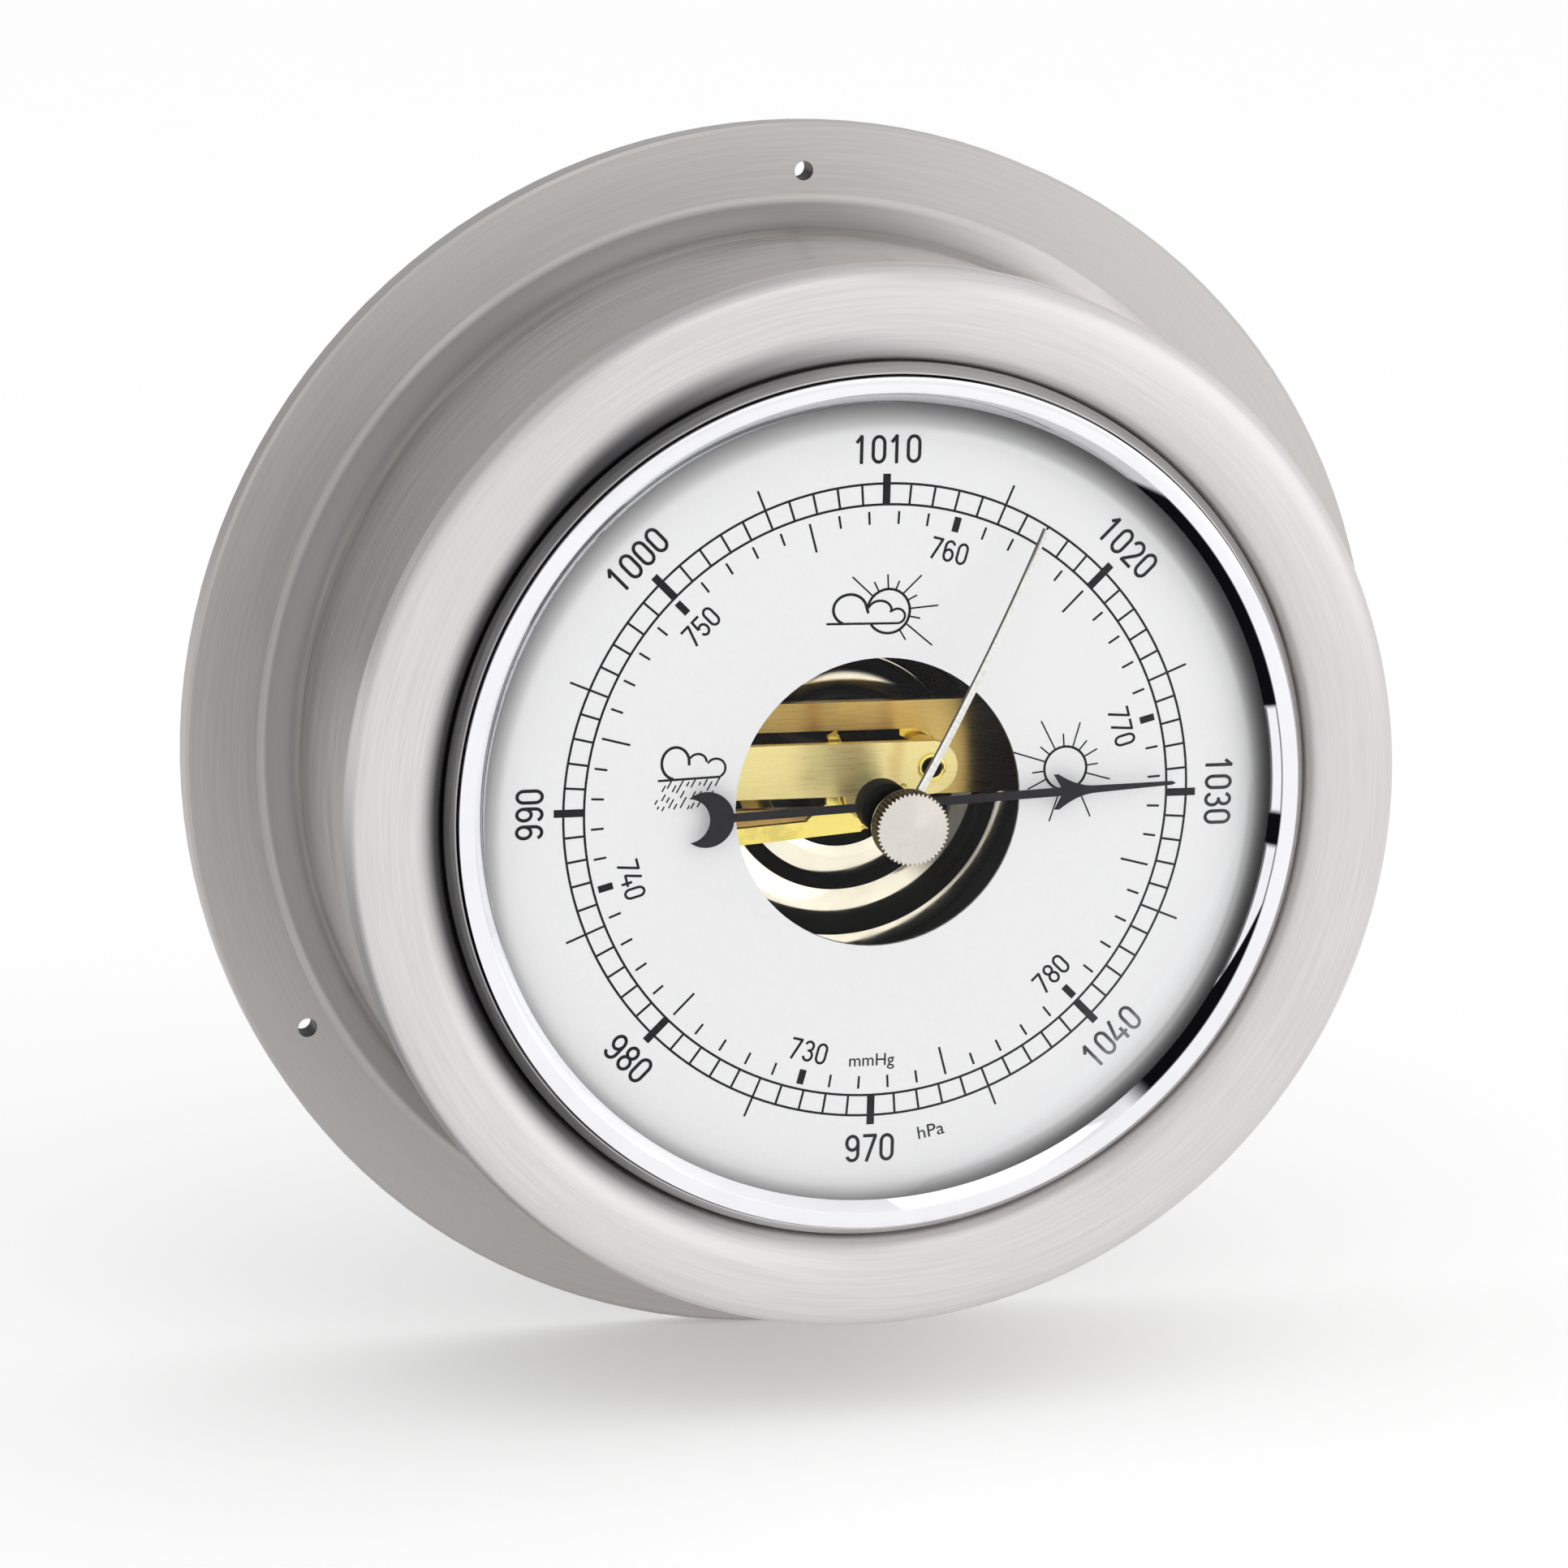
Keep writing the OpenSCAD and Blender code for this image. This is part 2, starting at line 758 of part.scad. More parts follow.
// Left support of the front bar
module bar_pillar() {
    color([0.8, 0.66, 0.34])
        on_dial()
            translate([bar_pillar_x, bar_y, 0])
                difference() {
                    union() {
                        translate([0, 0, -plate_depth])
                            cylinder(r = pillar_r, h = bar_z + plate_depth, $fn = 48);
                        translate([0, 0, plate_z]) cylinder(r = screw_r, h = plate_t + cut, $fn = 32);
                    }
                    translate([0, 0, bar_z - screw_bite])
                        cylinder(r = screw_r + run, h = screw_bite + cut, $fn = 32);
                }
}

// Screw of the front bar
module bar_screw() {
    color([0.8, 0.72, 0.5])
        on_dial()
            translate([bar_pillar_x, bar_y, -bar_depth])
                cheese_screw(screw_r, bar_t + screw_bite - screw_tip, head_r, head_t);
}

// Cock behind the bridge plate that carries the rear pivot of the pinion
module arbor_cock() {
    color([0.82, 0.68, 0.36])
        on_dial()
            difference() {
                translate([0, 0, cock_z])
                    linear_extrude(cock_t)
                        union() {
                            translate([cock_left, plate_low])
                                square([cock_right - cock_left, cock_high - plate_low]);
                            translate([0, -cock_tongue]) square([cock_left + cock_tongue, 2 * cock_tongue]);
                            circle(r = cock_tongue);
                        }
                hole(pivot_r + run, cock_z, cock_t, $fn = 32);
                translate([rivet_x, bar_y, 0]) hole(rivet_r + seat, cock_z, cock_t, $fn = 48);
                for (p = cock_screw_at)
                    translate([p[0], p[1], 0]) hole(screw_r + run, cock_z, cock_t, $fn = 32);
            }
}

// Screws of the cock, put in from behind
module cock_screws() {
    color([0.8, 0.72, 0.5])
        on_dial()
            for (p = cock_screw_at)
                translate([p[0], p[1], cock_z])
                    mirror([0, 0, 1]) cheese_screw(screw_r, cock_t + plate_t - blind_t - pass, cock_head_r, cock_head_t);
}

// Middles of the bracket screws
function bracket_screw_at() = [
    [pivot_x, rock_low - lug_t - lug_foot / 2],
    [pivot_x, rock_high + lug_t + lug_foot / 2]];

// One bearing bracket: an upright lug with a bore, on a foot that runs outwards along +Y
module bracket() {
    difference() {
        union() {
            translate([-lug_w / 2, 0, base_z + base_t]) cube([lug_w, lug_t, shaft_z - base_z - base_t]);
            translate([0, 0, shaft_z])
                rotate([-90, 0, 0]) cylinder(r = lug_w / 2, h = lug_t);
            translate([-lug_w / 2, 0, base_z + base_t]) cube([lug_w, lug_t + lug_foot, lug_t]);
        }
        translate([0, -cut, shaft_z])
            rotate([-90, 0, 0]) cylinder(r = rock_pivot_r + run, h = lug_t + 2 * cut, $fn = 32);
        translate([0, lug_t + lug_foot / 2, 0]) hole(screw_r + run, base_z + base_t, lug_t, $fn = 32);
    }
}

// Bearing brackets of the rocking shaft
module shaft_brackets() {
    color([0.78, 0.64, 0.32])
        on_dial() {
            translate([pivot_x, rock_high, 0]) bracket();
            translate([pivot_x, rock_low, 0]) mirror([0, 1, 0]) bracket();
        }
}

// Screws of the bearing brackets
module bracket_screws() {
    color([0.8, 0.72, 0.5])
        on_dial()
            for (p = bracket_screw_at())
                translate([p[0], p[1], base_z + base_t + lug_t])
                    cheese_screw(screw_r, lug_t + base_t, head_r, head_t);
}

// Height of the corrugated skin at radius r, under a crest at 0
function wave(r) = -wave_h * lookup(r / wave_pitch, wave_knots);

// Section of one corrugated skin, crest at 0, rim at -capsule_half
module skin_section(hole_r) {
    edge = capsule_r - flat_rim_w;
    turns = [for (k = wave_knots) if (k[0] * wave_pitch > hole_r && k[0] * wave_pitch < edge) k[0] * wave_pitch];
    radii = concat([hole_r], turns, [edge]);
    last = len(radii) - 1;
    top = [for (r = radii) [r, wave(r)]];
    low = [for (i = [last : -1 : 0]) [radii[i], wave(radii[i]) - disc_t]];
    wall_top = -capsule_half + rim_t / 2;
    polygon(concat(top, [[edge + rim_t, wall_top], [capsule_r, wall_top], [capsule_r, -capsule_half],
        [edge, -capsule_half]], low));
}

// Rear half of the pressure capsule with the socket of the zero screw
module capsule_rear() {
    color([0.86, 0.8, 0.62])
        on_dial() {
            translate([0, 0, capsule_mid_z])
                mirror([0, 0, 1])
                    translate([0, 0, capsule_half])
                        rotate_extrude($fn = 120) skin_section(socket_r - disc_t);
            difference() {
                translate([0, 0, base_top + pass])
                    cylinder(r = socket_r, h = rear_crest_z - base_top - pass + disc_t, $fn = 64);
                translate([0, 0, base_top - cut])
                    cylinder(r = zero_r + run, h = zero_tip_z - base_top + cut + run);
            }
        }
}

// Front half of the pressure capsule
module capsule_front() {
    color([0.86, 0.8, 0.62])
        on_dial()
            translate([0, 0, crest_z])
                rotate_extrude($fn = 120) skin_section(0);
}

// Push post on the middle of the front skin
module capsule_post() {
    color([0.8, 0.74, 0.55])
        on_dial()
            translate([0, 0, crest_z + seat]) {
                cylinder(r = push_foot_r, h = boss_t, $fn = 64);
                cylinder(r = push_r, h = boss_t + push_h - seat, $fn = 48);
            }
}

// Cross shaft with a pivot at each end
module rocking_shaft() {
    low = rock_low + pass / 2;
    high = rock_high - pass / 2;
    color([0.7, 0.7, 0.7])
        on_dial()
            translate([pivot_x, 0, shaft_z])
                rotate([-90, 0, 0]) {
                    translate([0, 0, low]) cylinder(r = rock_r, h = high - low, $fn = 48);
                    translate([0, 0, rock_low - lug_t])
                        cylinder(r = rock_pivot_r, h = rock_high - rock_low + 2 * lug_t, $fn = 32);
                }
}

// A collar on the rocking shaft, drawn along Y, with its middle at 0
module rock_hub(w) {
    rotate([-90, 0, 0])
        translate([0, 0, -w / 2])
            difference() {
                cylinder(r = rock_hub_r, h = w, $fn = 48);
                translate([0, 0, -cut]) cylinder(r = rock_r + seat, h = w + 2 * cut, $fn = 48);
            }
}

// Arm from the shaft up and over the capsule to its post
module lever_arm() {
    reach = lever_past - pivot_x;
    rise = lever_z - shaft_z;
    color([0.8, 0.68, 0.4])
        on_dial()
            translate([pivot_x, 0, shaft_z]) {
                rock_hub(lever_w);
                difference() {
                    translate([0, lever_w / 2, 0])
                        rotate([90, 0, 0])
                            linear_extrude(lever_w)
                                polygon([
                                    [-lever_t, 0],
                                    [lever_t, 0],
                                    [lever_t, rise],
                                    [reach, rise],
                                    [reach, rise + lever_t],
                                    [-lever_t, rise + lever_t]]);
                    rotate([-90, 0, 0])
                        translate([0, 0, -lever_w])
                            cylinder(r = rock_hub_r - hub_skin, h = 2 * lever_w, $fn = 48);
                }
            }
}

// Upright arm of the shaft, its fork takes the sector's tail pin
module fork_arm() {
    top = fork_top_z - shaft_z;
    color([0.8, 0.66, 0.34])
        on_dial()
            translate([pivot_x, fork_y, shaft_z]) {
                rock_hub(2 * fork_t);
                difference() {
                    translate([-fork_w / 2, -fork_t / 2, 0]) cube([fork_w, fork_t, top]);
                    rotate([-90, 0, 0])
                        translate([0, 0, -fork_t]) cylinder(r = rock_hub_r - hub_skin, h = 2 * fork_t, $fn = 48);
                    translate([-tail_pin_r - run, -fork_t, top - fork_mouth])
                        cube([2 * (tail_pin_r + run), 2 * fork_t, fork_mouth + cut]);
                }
            }
}

// One tooth that stands on a pitch circle, drawn along +X, narrow at the tip
module tooth(r) {
    polygon([
        [r - 1.35 * tooth_m, -0.95 * tooth_m],
        [r, -0.62 * tooth_m],
        [r + 0.9 * tooth_m, -0.3 * tooth_m],
        [r + 0.9 * tooth_m, 0.3 * tooth_m],
        [r, 0.62 * tooth_m],
        [r - 1.35 * tooth_m, 0.95 * tooth_m]]);
}

// Outline of the toothed sector without its teeth: the band, and the arm to the hub
module sector_outline() {
    root = sector_r - tooth_root * tooth_m;
    inner = sector_r - band_w;
    low = sector_low - band_margin;
    polygon(concat(
        [for (i = [0 : 24])
            let (a = low + (sector_high - low) * i / 24)
                [root * cos(a), root * sin(a)]],
        [[inner, inner * tan(sector_high)],
            [inner, inner * tan(sector_low) + heel_h],
            [inner - heel_w, inner * tan(sector_low) + heel_low]]));
    polygon([
        [0, arm_high],
        [sector_r - arm_short, 2 * arm_high],
        [root * cos(low), root * sin(low)],
        [sector_r / 2, arm_low],
        [0, -arm_low]]);
    translate([0, -tail_r]) circle(r = tail_boss_r, $fn = 48);
}

// Toothed sector with its hub and its tail, the teeth face the pinion
module sector_gear() {
    pitch = 360 / sector_teeth;
    first = ceil((sector_low - mesh_angle) / pitch);
    last = floor((sector_high - mesh_angle) / pitch);
    color([0.87, 0.74, 0.32])
        on_dial()
            translate([pivot_x, pivot_y, sector_z])
                difference() {
                    union() {
                        linear_extrude(sector_t)
                            union() {
                                sector_outline();
                                for (k = [first : last])
                                    rotate([0, 0, mesh_angle + k * pitch]) tooth(sector_r);
                            }
                        translate([0, 0, -collar_h])
                            cylinder(r = sector_hub_r, h = sector_t + 2 * collar_h, $fn = 48);
                    }
                    hole(sector_arbor_r + seat, -collar_h, sector_t + 2 * collar_h, $fn = 32);
                    translate([0, -tail_r, 0]) hole(tail_pin_r + seat, 0, sector_t, $fn = 32);
                }
}

// Shaft of the sector with a pivot at each end
module sector_arbor() {
    low = -plate_depth + pass / 2;
    high = bar_z - pass / 2;
    color([0.7, 0.7, 0.7])
        on_dial()
            translate([pivot_x, pivot_y, 0]) {
                translate([0, 0, low]) cylinder(r = sector_arbor_r, h = high - low, $fn = 32);
                translate([0, 0, plate_z]) cylinder(r = pivot_r, h = -bar_depth - plate_z, $fn = 32);
            }
}

// Pin in the sector's tail that stands in the fork
module tail_pin() {
    color([0.7, 0.7, 0.7])
        on_dial()
            translate([pivot_x, pivot_y - tail_r, sector_z - tail_pin_h])
                cylinder(r = tail_pin_r, h = sector_t + tail_pin_h, $fn = 32);
}

// Centre shaft with its pinion, it passes through bar and dial to the pointer
module pinion_arbor() {
    low = plate_z + pass / 2;
    high = bar_z - pass / 2;
    pitch = 360 / pinion_teeth;
    color([0.7, 0.7, 0.7])
        on_dial() {
            translate([0, 0, low]) cylinder(r = pinion_arbor_r, h = high - low, $fn = 32);
            translate([0, 0, cock_z]) cylinder(r = pivot_r, h = pointer_lift - cock_z + hub_h - hub_cap, $fn = 32);
            translate([0, 0, sector_z - pinion_over])
                linear_extrude(sector_t + 2 * pinion_over)
                    union() {
                        circle(r = pinion_r - tooth_root * tooth_m, $fn = 48);
                        for (k = [0 : pinion_teeth - 1])
                            rotate([0, 0, 180 + mesh_angle + (k + 0.5) * pitch]) tooth(pinion_r);
                    }
            translate([0, 0, hair_z() - collet_h / 2]) cylinder(r = hair_in(), h = collet_h, $fn = 48);
        }
}

// Hairspring: turns, wire and where its outer end is held
function hair_in() = 0.95;
function hair_out() = 3.6;
function hair_turns() = 4;
function hair_wire() = 0.09;
function hair_z() = sector_z - hair_drop();
function hair_drop() = 1.85;
function hair_phase() = 14;
function stud_r() = 0.4;
function hair_stud() = [hair_out() + stud_r() + 0.05, 0.9];
function hair_at(t) =
    let (a = 360 * hair_turns() * t, r = hair_in() + 0.1 + (hair_out() - hair_in() - 0.1) * t)
        [r * cos(a + hair_phase()), r * sin(a + hair_phase()), hair_z()];
hair_gap = (hair_out() - hair_in() - 0.1) / hair_turns() - 2 * hair_wire();

// Stud in the front bar that holds the outer end of the hairspring
module hairspring_stud() {
    color([0.8, 0.66, 0.34])
        on_dial()
            translate([hair_stud()[0], hair_stud()[1], hair_z() - stud_r()])
                cylinder(r = stud_r(), h = bar_z + bar_t - hair_z() + stud_r(), $fn = 24);
}

// One ring of the wire's skin, square to the spiral
function hair_ring(t) =
    let (p = hair_at(t), a = 360 * hair_turns() * t + hair_phase())
        [for (k = [0 : 5])
            let (w = hair_wire() * cos(60 * k), v = hair_wire() * 2 * sin(60 * k))
                [p[0] + w * cos(a), p[1] + w * sin(a), p[2] + v]];

// Flat spiral spring that takes up the play of the teeth
module hairspring() {
    rings = 24 * hair_turns();
    points = [for (i = [0 : rings]) each hair_ring(i / rings)];
    echo(hairspring_gap = hair_gap);
    color([0.45, 0.5, 0.62])
        on_dial()
            polyhedron(
                points = points,
                faces = concat(
                    [[for (k = [0 : 5]) k]],
                    [for (i = [0 : rings - 1]) for (k = [0 : 5])
                        [6 * i + k, 6 * i + 6 + k, 6 * i + 6 + (k + 1) % 6]],
                    [for (i = [0 : rings - 1]) for (k = [0 : 5])
                        [6 * i + k, 6 * i + 6 + (k + 1) % 6, 6 * i + (k + 1) % 6]],
                    [[for (k = [5 : -1 : 0]) 6 * rings + k]]));
}

// Half width of the arrowhead, from its barbs (t = 1) to its needle (t = 0)
function head_half(t) = needle_w + (barb_w - needle_w) * t * t;

// One side of the arrowhead as points, side is -1 at the left and 1 at the right
function head_side(side) = [
    for (i = [0 : 10])
        let (t = side < 0 ? i / 10 : 1 - i / 10)
            [side * head_half(t), barb_at + head_l * (1 - t)]];

// Pointer blade: arrow, bar and crescent tail, drawn towards the top of the dial
module pointer_shape() {
    half = blade_w / 2;
    union() {
        translate([-half, -moon_at + moon_r / 2]) square([blade_w, moon_at - moon_r / 2 + barb_at + barb_w / 2]);
        polygon(concat(
            [[0, pointer_reach], [-needle_w / 2, pointer_reach - needle_w]],
            head_side(-1),
            [[-barb_w, barb_at - barb_cut], [-half, barb_at + barb_cut / 2]],
            [[half, barb_at + barb_cut / 2], [barb_w, barb_at - barb_cut]],
            head_side(1),
            [[needle_w / 2, pointer_reach - needle_w]]));
        circle(r = hub_r - hub_edge);
        difference() {
            translate([0, -moon_at]) circle(r = moon_r);
            translate([0, -moon_at - moon_r * moon_shift]) circle(r = moon_r * moon_bite);
        }
    }
}

// Black pointer
module pointer() {
    color([0.08, 0.08, 0.09])
        on_dial()
            rotate([0, 0, -pointer_angle])
                difference() {
                    translate([0, 0, pointer_lift]) linear_extrude(pointer_t) pointer_shape();
                    hole(pivot_r + hub_wall + seat, pointer_lift, pointer_t, $fn = 48);
                }
}

// Hub that grips the pointer on its shaft
module pointer_hub() {
    neck = pivot_r + hub_wall;
    foot = pointer_lift - hub_foot;
    color([0.05, 0.05, 0.06])
        on_dial()
            difference() {
                union() {
                    translate([0, 0, foot]) cylinder(r = hub_r, h = hub_foot - seat);
                    translate([0, 0, foot]) cylinder(r = neck, h = hub_h / 2, $fn = 48);
                    translate([0, 0, pointer_lift + pointer_t + seat])
                        cylinder(r = hub_r, h = hub_h - hub_foot - pointer_t - seat);
                }
                translate([0, 0, foot - cut])
                    cylinder(r = pivot_r + seat, h = hub_h - hub_cap + hub_foot + seat + cut, $fn = 32);
            }
}

// Side section of the bent set hand, in reach and height
module set_section() {
    n = 24;
    r = set_bend_r;
    z0 = under_z - set_drop - r;
    polygon(concat(
        [for (i = [0 : n]) let (x = set_reach * i / n) [x, z0 + sqrt(r * r - x * x)]],
        [for (i = [n : -1 : 0]) let (x = set_reach * i / n) [x, z0 + sqrt(r * r - x * x) - set_t]]));
}

// Set hand, bent along the dome and narrowed to its tip
module set_hand() {
    color([0.8, 0.8, 0.8])
        on_dial()
            rotate([0, 0, 90 - set_angle])
                difference() {
                    union() {
                        intersection() {
                            translate([0, set_boss_r, 0])
                                rotate([90, 0, 0]) linear_extrude(2 * set_boss_r) set_section();
                            linear_extrude(glass_crown)
                                polygon([
                                    [0, -set_root_w / 2],
                                    [set_reach, -set_tip_w / 2],
                                    [set_reach, set_tip_w / 2],
                                    [0, set_root_w / 2]]);
                        }
                        translate([0, 0, set_boss_z]) cylinder(r = set_boss_r, h = set_boss_h, $fn = 64);
                    }
                    hole(spindle_r + seat, set_boss_z, set_boss_h, $fn = 48);
                }
}

// Spindle of the knob and the set hand
module set_spindle() {
    color([0.75, 0.75, 0.75])
        on_dial()
            translate([0, 0, set_boss_z - spindle_foot])
                cylinder(r = spindle_r, h = knob_z - set_boss_z + spindle_foot + knob_t / 2, $fn = 48);
}

// Knurled knob with a shallow cone on its face
module set_knob() {
    r = knob_d / 2;
    face_r = r - knurl_h - knurl_land;
    color([0.82, 0.82, 0.81])
        on_dial()
            translate([0, 0, knob_z])
                difference() {
                    intersection() {
                        linear_extrude(knob_t)
                            polygon([for (i = [0 : 2 * knob_teeth - 1])
                                let (a = 180 * i / knob_teeth, q = i % 2 == 0 ? r : r - knurl_h)
                                    [q * cos(a), q * sin(a)]]);
                        rotate_extrude()
                            polygon([
                                [0, 0],
                                [face_r, 0],
                                [r + seat, knurl_h + knurl_land + seat],
                                [r + seat, knob_t - cone_h],
                                [face_r, knob_t - cone_h],
                                [0, knob_t]]);
                    }
                    translate([0, 0, -cut]) cylinder(r = spindle_r + seat, h = knob_t / 2 + cut + seat, $fn = 48);
                }
}

// Slotted zero screw, it passes through the base plate into the capsule's socket
module adjusting_screw() {
    head_z = floor_z - zero_proud;
    color([0.8, 0.7, 0.4])
        on_dial() {
            difference() {
                translate([0, 0, head_z]) cylinder(r = zero_head_r, h = zero_head_h, $fn = 64);
                translate([-zero_head_r - cut, -zero_slot_w / 2, head_z - cut])
                    cube([2 * (zero_head_r + cut), zero_slot_w, zero_slot_h + cut]);
            }
            translate([0, 0, head_z + zero_slot_h])
                cylinder(r = zero_r, h = zero_tip_z - head_z - zero_slot_h, $fn = 64);
        }
}

case_shell();
front_bezel();
chrome_ring();
glass();
glass_seal();
glass_bush();
dial();
instrument_can();
retaining_clips();
clip_screws();
plate_posts();
base_plate();
base_screws();
bridge_pillars();
bridge_plate();
bridge_screws();
front_bar();
bar_spacer();
tubular_rivet();
bar_pillar();
bar_screw();
arbor_cock();
cock_screws();
shaft_brackets();
bracket_screws();
capsule_rear();
capsule_front();
capsule_post();
rocking_shaft();
lever_arm();
fork_arm();
sector_gear();
sector_arbor();
tail_pin();
pinion_arbor();
hairspring();
hairspring_stud();
pointer();
pointer_hub();
set_hand();
set_spindle();
set_knob();
adjusting_screw();
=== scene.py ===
from functools import cached_property, partialmethod
from math import atan2, copysign, cos, dist, pi, radians, sin, sqrt

import bmesh
import bpy
from bpy.props import FloatProperty, FloatVectorProperty, PointerProperty
from bpy.types import Operator, Panel, PropertyGroup
from mathutils import Matrix, Vector


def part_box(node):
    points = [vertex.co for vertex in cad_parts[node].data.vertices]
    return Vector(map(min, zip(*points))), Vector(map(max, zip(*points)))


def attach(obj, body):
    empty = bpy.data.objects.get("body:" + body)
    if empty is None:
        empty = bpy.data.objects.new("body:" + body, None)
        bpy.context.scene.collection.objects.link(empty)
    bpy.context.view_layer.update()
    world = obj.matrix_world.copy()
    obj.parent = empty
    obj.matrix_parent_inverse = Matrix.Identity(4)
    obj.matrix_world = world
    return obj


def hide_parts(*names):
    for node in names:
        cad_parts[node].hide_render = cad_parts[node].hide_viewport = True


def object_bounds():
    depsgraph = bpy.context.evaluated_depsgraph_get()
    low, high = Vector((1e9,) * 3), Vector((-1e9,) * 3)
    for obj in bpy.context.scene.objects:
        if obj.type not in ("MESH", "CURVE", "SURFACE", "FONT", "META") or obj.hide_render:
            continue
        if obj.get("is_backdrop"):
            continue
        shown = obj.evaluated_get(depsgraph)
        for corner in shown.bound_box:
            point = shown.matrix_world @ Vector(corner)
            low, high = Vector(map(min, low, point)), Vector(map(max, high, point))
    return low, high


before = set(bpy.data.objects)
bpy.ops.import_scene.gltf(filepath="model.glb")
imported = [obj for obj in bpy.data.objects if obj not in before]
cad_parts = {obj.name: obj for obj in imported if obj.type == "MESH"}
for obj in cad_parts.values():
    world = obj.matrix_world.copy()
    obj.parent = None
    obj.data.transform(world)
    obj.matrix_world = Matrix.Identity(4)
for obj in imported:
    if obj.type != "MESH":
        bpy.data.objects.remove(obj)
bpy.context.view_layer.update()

bl_info = {
    "name": "Porthole barometer",
    "version": (1, 0, 0),
    "blender": (4, 5, 0),
    "location": "View3D > Sidebar > Barometer",
    "description": "Dresses the barometer's solids: turned steel, printed dial, glass and open brass movement",
    "category": "Object",
}

# Heights are counted from the dial's front face towards the viewer, in millimetres
MM = 0.001
DIAL_FACE = -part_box("dial")[0].y / MM
AXIS = Vector((0, 1, 0))

# The set hand: its clockwise angle in degrees, where it starts and ends, and its width at both ends
HAND_ANGLE = 29.0
HAND_START, HAND_END = 1.2, 37.4
HAND_ROOT, HAND_TIP = 1.15, 0.8
# How far the mercury scale's marks stand clockwise of the pressure scale's, in degrees
MERCURY = 14.63


def heights(node):
    """Heights of a node's rear and front over the dial, in millimetres."""
    low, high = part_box(node)
    return -high.y / MM - DIAL_FACE, -low.y / MM - DIAL_FACE


def span(node):
    """Radius of a turned node, and the heights of its rear and its front, in millimetres."""
    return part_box(node)[1].z / MM, *heights(node)


def at(x, y, z=0.0):
    """A point over the dial: x to the right, y up, z towards the viewer."""
    return Vector((x, -(DIAL_FACE + z), y)) * MM


def clock(radius, angle):
    """The place on the dial at a clockwise angle from its top, in degrees."""
    return radius * sin(radians(angle)), radius * cos(radians(angle))


def arc(x, y, wide, high, start, end, steps=24):
    """Points on an ellipse round x, y, from one angle to another, counted from +X in degrees."""
    return [
        (x + wide * cos(radians(a)), y + high * sin(radians(a)))
        for a in (start + (end - start) * i / steps for i in range(steps + 1))
    ]


# --- sizes and colours


class SteelLook(PropertyGroup):
    """Steel of the case and the bezel"""

    case_colour: FloatVectorProperty(
        name="Case", description="Colour of the case's steel", subtype="COLOR", default=(0.575, 0.556, 0.543)
    )
    bezel_colour: FloatVectorProperty(
        name="Bezel", description="Colour of the bezel's steel", subtype="COLOR", default=(0.69, 0.676, 0.672)
    )
    roughness: FloatProperty(
        name="Roughness", description="Roughness of the brushed steel", default=0.34, subtype="FACTOR"
    )
    stroke: FloatProperty(
        name="Brush stroke", description="Width of one stroke of the brushing", default=0.00035, unit="LENGTH"
    )


class DialLook(PropertyGroup):
    """Paper and print of the dial"""

    white: FloatVectorProperty(
        name="White", description="Colour of the dial", subtype="COLOR", default=(0.872, 0.872, 0.878)
    )
    ink: FloatVectorProperty(
        name="Ink", description="Colour of the print", subtype="COLOR", default=(0.012, 0.011, 0.013)
    )
    scale_radius: FloatProperty(
        name="Scale", description="Radius of the outer scale circle", default=0.0378, unit="LENGTH"
    )
    digit: FloatProperty(name="Digits", description="Height of the outer digits", default=0.00336, unit="LENGTH")
    small_digit: FloatProperty(
        name="Small digits", description="Height of the inner digits", default=0.0026, unit="LENGTH"
    )


class MovementLook(PropertyGroup):
    """Metals of the movement"""

    plate: FloatVectorProperty(
        name="Plate", description="Colour of the bridge plate", subtype="COLOR", default=(0.9, 0.62, 0.2)
    )
    bar: FloatVectorProperty(
        name="Bar", description="Colour of the front bar", subtype="COLOR", default=(1.0, 0.82, 0.36)
    )
    gear: FloatVectorProperty(
        name="Gear", description="Colour of the toothed sector", subtype="COLOR", default=(0.92, 0.76, 0.2)
    )
    capsule: FloatVectorProperty(
        name="Capsule", description="Colour of the capsule", subtype="COLOR", default=(0.93, 0.87, 0.7)
    )


class StudioLook(PropertyGroup):
    """Stage, light and camera"""

    camera_place: FloatVectorProperty(
        name="Camera", description="Where the camera stands", subtype="XYZ", unit="LENGTH",
        default=(-0.2050612, -0.7560253, 0.1633433),
    )
    camera_aim: FloatVectorProperty(
        name="Aim", description="What the camera looks at", subtype="XYZ", unit="LENGTH",
        default=(-0.0105745, -0.0404219, 0.0018417),
    )
    camera_up: FloatVectorProperty(
        name="Up", description="The camera's upward direction", subtype="DIRECTION",
        default=(0.0335604, 0.2113372, 0.9768369),
    )
    lens: FloatProperty(name="Lens", description="Focal length on a 36 mm sensor", default=149.07, unit="CAMERA")
    floor: FloatVectorProperty(
        name="Floor", description="Colour of the floor", subtype="COLOR", default=(0.93, 0.93, 0.93)
    )


# --- meshes


def linked(name, data):
    """Puts data into the scene as an object."""
    obj = bpy.data.objects.new(name, data)
    bpy.context.scene.collection.objects.link(obj)
    return obj


def made(name, bm, material):
    """Makes an object of a bmesh."""
    mesh = bpy.data.meshes.new(name)
    bm.to_mesh(mesh)
    bm.free()
    mesh.materials.append(material)
    return linked(name, mesh)


def piece(name, bm, material, body, node=None, sharp=35):
    """Makes a piece, smooth but for its sharp edges. It rides on its body and may replace a CAD node."""
    obj = made(name, bm, material)
    obj.data.shade_smooth()
    obj.data.set_sharp_from_angle(angle=radians(sharp))
    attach(obj, body)
    if node:
        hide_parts(node)


def finish(material, *nodes):
    """Gives CAD nodes their material."""
    for node in nodes:
        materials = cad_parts[node].data.materials
        materials.clear()
        materials.append(material)


